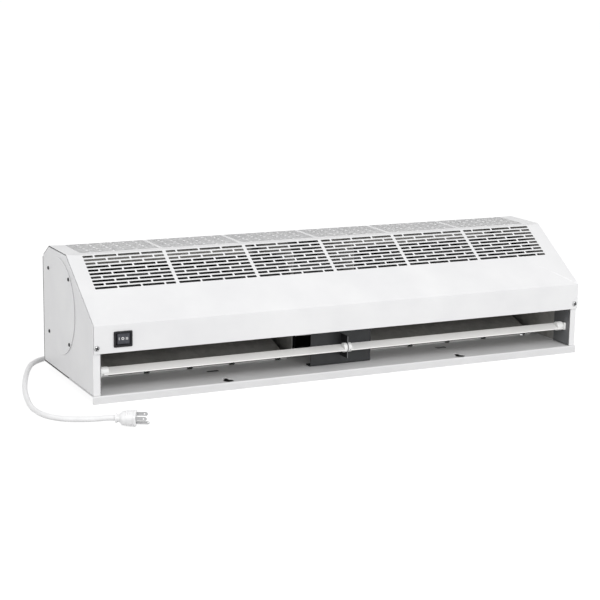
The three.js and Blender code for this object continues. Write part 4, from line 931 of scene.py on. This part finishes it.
def tongue(word, side):
    """Throat sheet: the roof of the outlet, curled up round the wheel."""
    front, roof, radius = SHEET + SEAT, OUTLET_H + 2.3, 67.0
    angle = math.degrees(math.asin((roof - ROTOR_Z) / radius))
    nose = circle(ROTOR_Y, ROTOR_Z, radius, 16, 180 - angle, 180 - angle - 24)
    fold = Fold([(front, roof + 6.5), (front, roof), *nose], 0, side=-1, sheet=1.0)
    outline = rectangle(CASING_INNER_X + SEAT, OPENING_X - SEAT, 0, fold.length)
    bm = folded(fold, outline, thickness=1.0, edge=0.1, side=side)
    piece("throat_sheet_" + word, bm, zinc, ["throat_tongue_" + word])


def behind(outline, y0):
    """The part of a convex outline whose u is at least y0."""
    kept = []
    for a, b in zip(outline, outline[1:] + outline[:1]):
        if a[0] >= y0:
            kept.append(a)
        if (a[0] - y0) * (b[0] - y0) < 0:
            share = (y0 - a[0]) / (b[0] - a[0])
            kept.append((y0, a[1] + (b[1] - a[1]) * share))
    return kept


def casing_side(word, side, inner):
    """Side wall of a scroll; the inner one stands on a foot."""
    outline = inset(HOUSING, 5.0)
    bottom = SEAT if inner else 2 * SEAT + SHEET
    outline[0], outline[1] = (outline[0][0], bottom), (outline[1][0], bottom)
    outline = behind(outline, 112.0 if inner else 50.3)
    x0 = CASING_INNER_X - 1 if inner else OPENING_X
    bm = across(x0, outline, [circle(ROTOR_Y, ROTOR_Z, 8.0, 32)], 1.0, 0.12, side)
    if inner:
        foot = slab(rounded(rectangle(x0 - 11, x0 + 1, 123, 239), 2.0), [], 1.0,
                    lambda u, v, t: (side * u, v, bottom + t), 0.12)
        bm = merged(bm, foot)
    name = f"casing_side_{'inner' if inner else 'outer'}_{word}"
    plate = piece(name + "_plate", bm, zinc, [name])
    # Front edges carry a painted highlight on their sheared edge.
    paint_faces(plate, lambda middle, normal: normal.y < -0.9, painted_edge_highlight)


def motor_shield():
    """Upright channel before the motor, with the tab that carries the vane."""
    half, y, top = 57.5, 41.0, 108.0
    fold = Fold([(y + 17.5, SEAT), (y, SEAT), (y, top), (y + 17.5, top)], 1.0, side=1, sheet=1.5)
    outline = rectangle(-half, half, 0, fold.length)
    bm = folded(fold, outline, thickness=1.5, edge=0.2)
    tab = rounded([(y + 0.8, 15.5), (y + 0.8, 54.0), (16.0, 54.0), (16.0, 15.5)], 0.6, 3)
    bm = merged(bm, across(-0.75, tab, [circle(VANE_Y, VANE_Z, 2.45, 24)], 1.5, 0.2))
    sheet = piece("shield_sheet", bm, dark_steel_and_recess_shade, ["motor_shield"])
    front, end = row(0, y - 1, 0).y, (half - 1) / 1000
    # The tab's sides carry painted shade in the wheel's black.
    paint_faces(sheet, lambda middle, normal: middle.y < front and abs(normal.x) > 0.8, wheel_black_and_tab_shade)
    # The tab's front edge carries a dim painted highlight in mid grey.
    paint_faces(sheet, lambda middle, normal: middle.y < front and normal.y < -0.9, shade_and_glint_grey)
    # The shield's right edge carries a painted highlight on its sheared edge.
    paint_faces(sheet, lambda middle, normal: middle.x > end and normal.x > 0.9, painted_edge_highlight)


for word, side in SIDES:
    scroll(word, side)
    tongue(word, side)
    casing_side(word, side, True)
    casing_side(word, side, False)
motor_shield()


# -------- air vane

VANE_HALF, VANE_T, VANE_IN_X, VANE_END_X, CLIP_R, PIN_HOLE_R = 11.2, 1.8, 3.8, 435.0, 8.0, 2.45
VANE_REST = math.radians(17)


def vane_outline(grow):
    """The blade's section at rest, a flat strip with round edges, grown all round."""
    radius, reach = VANE_T / 2 + grow, VANE_HALF - VANE_T / 2
    flat = circle(reach, 0, radius, 12, -90, 90) + circle(-reach, 0, radius, 12, 90, 270)
    c, s = math.cos(VANE_REST), math.sin(VANE_REST)
    return [(VANE_Y + c * u - s * v, VANE_Z + s * u + c * v) for u, v in flat]


def vane_blade(word, side):
    bm = across(VANE_IN_X, vane_outline(0), [], VANE_END_X - VANE_IN_X, 0.3, side)
    piece("vane_blade_" + word, bm, blade_paint, ["vane_" + word], "vane", smooth_deg=40)


def room(x0, x1):
    """The place that a blade takes inside a clip."""
    return across(x0, vane_outline(SEAT), [], x1 - x0, 0)


def at_vane(bm):
    return moved(bm, at(0, VANE_Y, VANE_Z))


def vane_clip(word, side):
    """End clip: round jaws with a rounded rim, over the blade's end, and the pin beyond."""
    jaw, disc, pin = VANE_END_X - 9, VANE_END_X + 2.9, OPENING_X - 0.6
    profile = [(0, jaw), (7.4, jaw), (CLIP_R, jaw + 0.6), (CLIP_R, disc - 0.6), (7.4, disc),
               (2.2, disc), (2.2, pin - 0.3), (1.9, pin), (0, pin)]
    clip = carved(at_vane(lathe(profile, 48)), room(jaw - 1, VANE_END_X + SEAT))
    piece("vane_end_clip_" + word, mirrored(clip, side), white_plastic,
          ["vane_clip_" + word], "vane", smooth_deg=40)


def centre_clip():
    """The clip in the middle: a jaw each side of the tab, on one pin."""
    gap, disc, jaw = 1.05, 3.5, 7.5
    half = [(2.2, gap), (7.5, gap), (CLIP_R, gap + 0.5), (CLIP_R, jaw - 0.6), (7.4, jaw), (0, jaw)]
    clip = carved(at_vane(lathe(both_ways(half), 48)), room(disc, jaw + 1))
    clip = carved(clip, room(-jaw - 1, -disc))
    piece("vane_mid_clip", clip, white_plastic, ["vane_centre_clip"], "vane", smooth_deg=40)


def vane_bracket(word, side):
    x0, x1 = VANE_END_X + 3.2, OPENING_X - SEAT
    outline = [(VANE_Y - 9, VANE_Z - 7), (VANE_Y + 6, VANE_Z - 5), (VANE_Y + 6, VANE_Z + 5),
               (VANE_Y - 9, VANE_Z + 7)]
    bm = across(x0, rounded(outline, 2.0, 6), [circle(VANE_Y, VANE_Z, PIN_HOLE_R, 24)], x1 - x0, 0.5,
                side)
    piece("vane_wall_bracket_" + word, bm, white_plastic, ["vane_bracket_" + word])


for word, side in SIDES:
    vane_blade(word, side)
    vane_clip(word, side)
    vane_bracket(word, side)
centre_clip()


# -------- switch

BEZEL_W, BEZEL_H, BEZEL_PROUD, SWITCH_DISH = 30.8, 25.6, 2.0, 10.9


def switch_rect(grow, radius):
    """The bezel's outline, grown all round."""
    return rounded(around(SWITCH_X, SWITCH_Z, BEZEL_W / 2 + grow, BEZEL_H / 2 + grow), radius)


def switch_body():
    """Bezel with a bevelled rim, and the open box behind it with three tabs."""
    front = -BEZEL_PROUD - SEAT
    window = switch_rect(-3.5, 0.8)
    bezel = slab(switch_rect(0, 1.6), [window], BEZEL_PROUD, along_y(front), 0.6)
    shell = slab(switch_rect(-2.2, 0.8), [window], 18.4 + SEAT, along_y(-SEAT - 0.2), 0.1)
    floor = slab(switch_rect(-3.4, 0.8), [], 1.6, along_y(18.4), 0.1)
    tabs = [block(x - 0.4, x + 0.4, 19.5, 27, SWITCH_Z - 3.15, SWITCH_Z + 3.15, 0.1)
            for x in (SWITCH_X - 7.5, SWITCH_X, SWITCH_X + 7.5)]
    bm = merged(bezel, shell, floor, *tabs)
    piece("switch_shell", bm, black_plastic, ["switch_body"])


def rocker():
    """Rocker with a dished face, raised ends and its two pins."""
    half_w, half_h, pin_y = 10.9, 8.8, 4.0
    dish = [(-10.4, 4.6), (-9.0, 2.4)]
    dish += [(SWITCH_DISH * k / 16, dish_y(SWITCH_X + SWITCH_DISH * k / 16)) for k in range(-13, 17)]
    outline = [(SWITCH_X + u, v) for u, v in dish + [(half_w, pin_y + 1), (5.5, 9.0), (-5.5, 9.0)]]
    bm = slab(outline, [], 2 * half_h, along_z(SWITCH_Z - half_h), 0.3)
    pin = moved(lathe(both_ways([(1.2, 9.9), (0, 9.9)]), 20), at(SWITCH_X, pin_y, SWITCH_Z) @ ALONG_Z)
    piece("rocker_cap", merged(bm, pin), rocker_plastic, ["rocker"], "rocker", smooth_deg=25)


def dish_y(u):
    """The depth of the rocker's dished face."""
    share = (u - SWITCH_X) / SWITCH_DISH
    return -0.6 + 2.2 * (1 - share * share)


def rocker_marks():
    """Painted marks on the rocker: one bar, a ring, two bars."""
    proud, paint_t = 0.04, 0.06
    shapes = [(around(SWITCH_X + u, SWITCH_Z, 0.5, 2.1), []) for u in (-5.9, 5.9, 8.0)]
    shapes.append((circle(SWITCH_X + 0.4, SWITCH_Z, 2.3, 28), [circle(SWITCH_X + 0.4, SWITCH_Z, 1.2, 28)]))
    marks = [slab(outline, holes, paint_t, lambda u, v, t: (u, dish_y(u) - proud + t, v), 0)
             for outline, holes in shapes]
    piece("rocker_marks", merged(*marks), mark_paint, body="rocker")


switch_body()
rocker()
rocker_marks()


# -------- rotor, motor and what goes with them

ROTOR_R, RING, WHEEL_T, BLADES, BAYS = 62.0, 11.0, 1.5, 32, 6


def at_rotor(bm):
    return moved(bm, at(0, ROTOR_Y, ROTOR_Z))


def wheel(word, side):
    """Cross-flow wheel: end discs with hubs, rings between bays and curved blades right through."""
    x0, x1 = CASING_INNER_X + 5, OPENING_X - 5
    bm = bmesh.new()
    for k in range(BAYS + 1):
        middle = x0 + WHEEL_T / 2 + (x1 - x0 - WHEEL_T) * k / BAYS
        bore = 14.0 if k in (0, BAYS) else ROTOR_R - RING - 1
        a, b = middle - WHEEL_T / 2, middle + WHEEL_T / 2
        lathe([(bore, a), (ROTOR_R - 0.3, a), (ROTOR_R, a + 0.3), (ROTOR_R, b - 0.3),
               (ROTOR_R - 0.3, b), (bore, b)], 96, bm)
    for a, b in ((x0, x0 + 22), (x1 - 22, x1)):
        lathe([(6.3, a), (14.5, a), (15, a + 0.5), (15, b - 0.5), (14.5, b), (6.3, b)], 48, bm)
    for i in range(BLADES):
        turn = 2 * math.pi * i / BLADES
        front, back = [], []
        for k in range(6):
            share = k / 5
            radius = ROTOR_R - RING + (RING - 0.8) * share
            angle = turn + math.radians(13 * share ** 1.6)
            front.append((radius * math.cos(angle), radius * math.sin(angle)))
            thick = 0.9 / radius
            back.append((radius * math.cos(angle + thick), radius * math.sin(angle + thick)))
        loft([(x0 + 0.7, front + back[::-1]), (x1 - 0.7, front + back[::-1])], bm)
    piece("crossflow_wheel_" + word, mirrored(at_rotor(bm), side), wheel_black_and_tab_shade,
          ["wheel_" + word], "rotor")


def shaft(name, x0, x1):
    profile = [(0, x0), (5.5, x0), (6.0, x0 + 0.5), (6.0, x1 - 0.5), (5.5, x1), (0, x1)]
    piece(name + "_bar", at_rotor(lathe(profile, 40)), nickel, [name], "rotor")


def bearing(word, side):
    seat, bore = OPENING_X + 1.0 + SEAT, 6.1
    steps = [(bore, 0), (16.6, 0), (17, 0.4), (17, 1.7), (16.7, 2), (12, 2), (11.4, 3), (10, 8.2),
             (9.4, 9), (bore, 9)]
    bm = at_rotor(mirrored(lathe([(r, seat + x) for r, x in steps], 48), side))
    piece("bearing_housing_" + word, bm, dark_steel_and_recess_shade, ["bearing_" + word])


def motor():
    """Can with a laminated stack, ribbed end bells and four through bolts."""
    half = [(41.9, 27), (42, 28), (41.4, 30), (39.6, 34), (37, 37), (24.4, 37), (24, 37.4), (24, 45.6),
            (23.6, 46), (6.1, 46)]
    bolts = [moved(lathe(both_ways([(2.4, 39), (0, 39)]), 12), at(0, y, z))
             for y, z in circle(0, 0, 30, 4, 45, 405)]
    bm = merged(lathe(both_ways(half), 64), *bolts)
    piece("motor_can", at_rotor(bm), dark_steel_and_recess_shade, ["motor"])


def motor_ring(word, side):
    inner, outer, x0, x1 = 24.3, 29.3, 38.0, 45.0
    profile = [(inner, x0), (outer - 0.6, x0), (outer, x0 + 0.6), (outer, x1 - 0.6), (outer - 0.6, x1),
               (inner, x1)]
    bm = at_rotor(mirrored(lathe(profile, 48), side))
    piece("motor_cushion_" + word, bm, rubber, ["motor_ring_" + word])


def motor_cradle():
    ring_r, rim, half = 29.6, 5.0, 32.0
    wide, top = ring_r + rim, ROTOR_Z + ring_r + rim
    rear = [(half, SEAT), (wide, ROTOR_Z), (wide, top - rim), (ring_r - rim, top)]
    outline = [(ROTOR_Y - half, SEAT)] + [(ROTOR_Y + u, v) for u, v in rear]
    outline += [(ROTOR_Y - u, v) for u, v in reversed(rear[1:])]
    yokes = [across(40.5, rounded(outline, 1.5), [circle(ROTOR_Y, ROTOR_Z, ring_r, 64)], 2.0, 0.2, side)
             for side in (-1, 1)]
    foot = slab(rectangle(-42.4, 42.4, ROTOR_Y - half, ROTOR_Y + half), [], 2.0, along_z(SEAT), 0.2)
    piece("cradle_sheet", merged(*yokes, foot), dark_steel_and_recess_shade, ["motor_cradle"])


def capacitor():
    x, y = 26.0, 74.0
    case = slab(rounded(around(x, y, 23, 12), 5.0, 6), [], 32.0, along_z(SEAT), 0.8)
    tabs = [block(x + dx - 3.15, x + dx + 3.15, y - 0.4, y + 0.4, 31.5, 39.3, 0.1)
            for dx in (-11.5, 11.5)]
    piece("capacitor_case", merged(case, *tabs), black_plastic, ["capacitor"])


def terminal_block():
    x, y, top = -270.0, 244.0, 15.3
    well_depth, poles = 6.2, [x + dx for dx in (-12.67, 0, 12.67)]
    box, wells = around(x, y, 19, 7.5), [circle(pole, y, 3.5, 24) for pole in poles]
    low = slab(box, [], 9.0, along_z(SEAT), 0.2)
    high = slab(box, wells, well_depth, along_z(top - well_depth), 0.3)
    piece("terminal_case", merged(low, high), white_plastic, ["terminal_block"])
    down = Matrix.Rotation(math.pi / 2, 4, "Y")
    heads = [moved(phillips(3.0, 1.4, 1.5, 2.0), at(pole, y, 11.4) @ down) for pole in poles]
    piece("terminal_screws", merged(*heads), brass)


for word, side in SIDES:
    wheel(word, side)
    bearing(word, side)
    motor_ring(word, side)
shaft("motor_shaft", -81, 81)
shaft("stub_shaft_left", -453.3, -421)
shaft("stub_shaft_right", 421, 453.3)
motor()
motor_cradle()
capacitor()
terminal_block()


# -------- floor, world and lamps

def seen_directly(nodes):
    """1 for rays from the camera, a mirror or glass, and 0 for the light on surfaces."""
    path = nodes.new("ShaderNodeLightPath").outputs
    first = calc(nodes, "ADD", path["Is Camera Ray"], path["Is Glossy Ray"])
    total = calc(nodes, "ADD", first, path["Is Transmission Ray"])
    total.node.use_clamp = True
    return total


def outside_footprint(nodes):
    """0 on the floor under the housing, which stays dark behind the slots, and 1 around it."""
    coords = nodes.new("ShaderNodeTexCoord")
    parts = nodes.new("ShaderNodeSeparateXYZ")
    join(coords.outputs["Object"], parts.inputs[0])
    beyond = []
    for axis, half in FOOTPRINT.items():
        distance = calc(nodes, "ABSOLUTE", parts.outputs[axis])
        beyond.append(calc(nodes, "GREATER_THAN", distance, half))
    return calc(nodes, "MAXIMUM", *beyond)


def mixed(nodes, factor, first, second, out):
    """Links a mix of two shaders to the output node."""
    choice = nodes.new("ShaderNodeMixShader")
    for socket, value in zip(choice.inputs, (factor, first.outputs[0], second.outputs[0])):
        join(value, socket)
    join(choice.outputs[0], out.inputs["Surface"])


FLOOR_SIZE, FLOOR_SHADOW, FLOOR_GLOW, FLOOR_PLAIN = 60.0, 0.22, 0.90, 0.55
FOOTPRINT = {"X": 0.440, "Y": 0.118}
WORLD_LIGHT, WHITE = 0.60, 1.0


def grey(value):
    return value, value, value, 1


def floor():
    """White wherever it is seen, with a soft shadow, and a plain grey for the light it gives back."""
    bm = bmesh.new()
    bmesh.ops.create_grid(bm, x_segments=1, y_segments=1, size=FLOOR_SIZE / 2)
    obj = bpy.data.objects.new("floor", as_mesh(bm, "floor"))
    scene.collection.objects.link(obj)
    made, nodes = new_material("floor_white")
    shown = add(nodes, "ShaderNodeBsdfDiffuse", Color=grey(FLOOR_SHADOW))
    glow = add(nodes, "ShaderNodeEmission", Color=grey(1), Strength=FLOOR_GLOW)
    plain = add(nodes, "ShaderNodeBsdfDiffuse", Color=grey(FLOOR_PLAIN))
    both = nodes.new("ShaderNodeAddShader")
    join(shown.outputs[0], both.inputs[0])
    join(glow.outputs[0], both.inputs[1])
    bright = calc(nodes, "MULTIPLY", seen_directly(nodes), outside_footprint(nodes))
    mixed(nodes, bright, plain, both, nodes.new("ShaderNodeOutputMaterial"))
    obj.data.materials.append(made)


def world():
    """White where it is seen, and weaker as a light."""
    made = bpy.data.worlds.new("studio")
    scene.world = made
    made.use_nodes = True
    nodes = made.node_tree.nodes
    nodes.clear()
    light, white = [add(nodes, "ShaderNodeBackground", Color=grey(1), Strength=strength)
                    for strength in (WORLD_LIGHT, WHITE)]
    mixed(nodes, seen_directly(nodes), light, white, nodes.new("ShaderNodeOutputWorld"))


def area_lamp(name, place, aim, size, power):
    data = bpy.data.lights.new(name, "AREA")
    data.shape, data.size, data.energy = "DISK", size, power
    obj = bpy.data.objects.new(name, data)
    obj.location = place
    obj.rotation_mode = "QUATERNION"
    obj.rotation_quaternion = (Vector(aim) - Vector(place)).to_track_quat("-Z", "Y")
    scene.collection.objects.link(obj)


floor()
world()
area_lamp("key", (0.2, -2.75, 1.6), (0, 0, 0.1), 2.2, 50.3)
area_lamp("left_fill", (-2.8, -0.6, 0.9), (-0.45, 0, 0.1), 1.6, 14.0)

scene.view_settings.view_transform = "Standard"
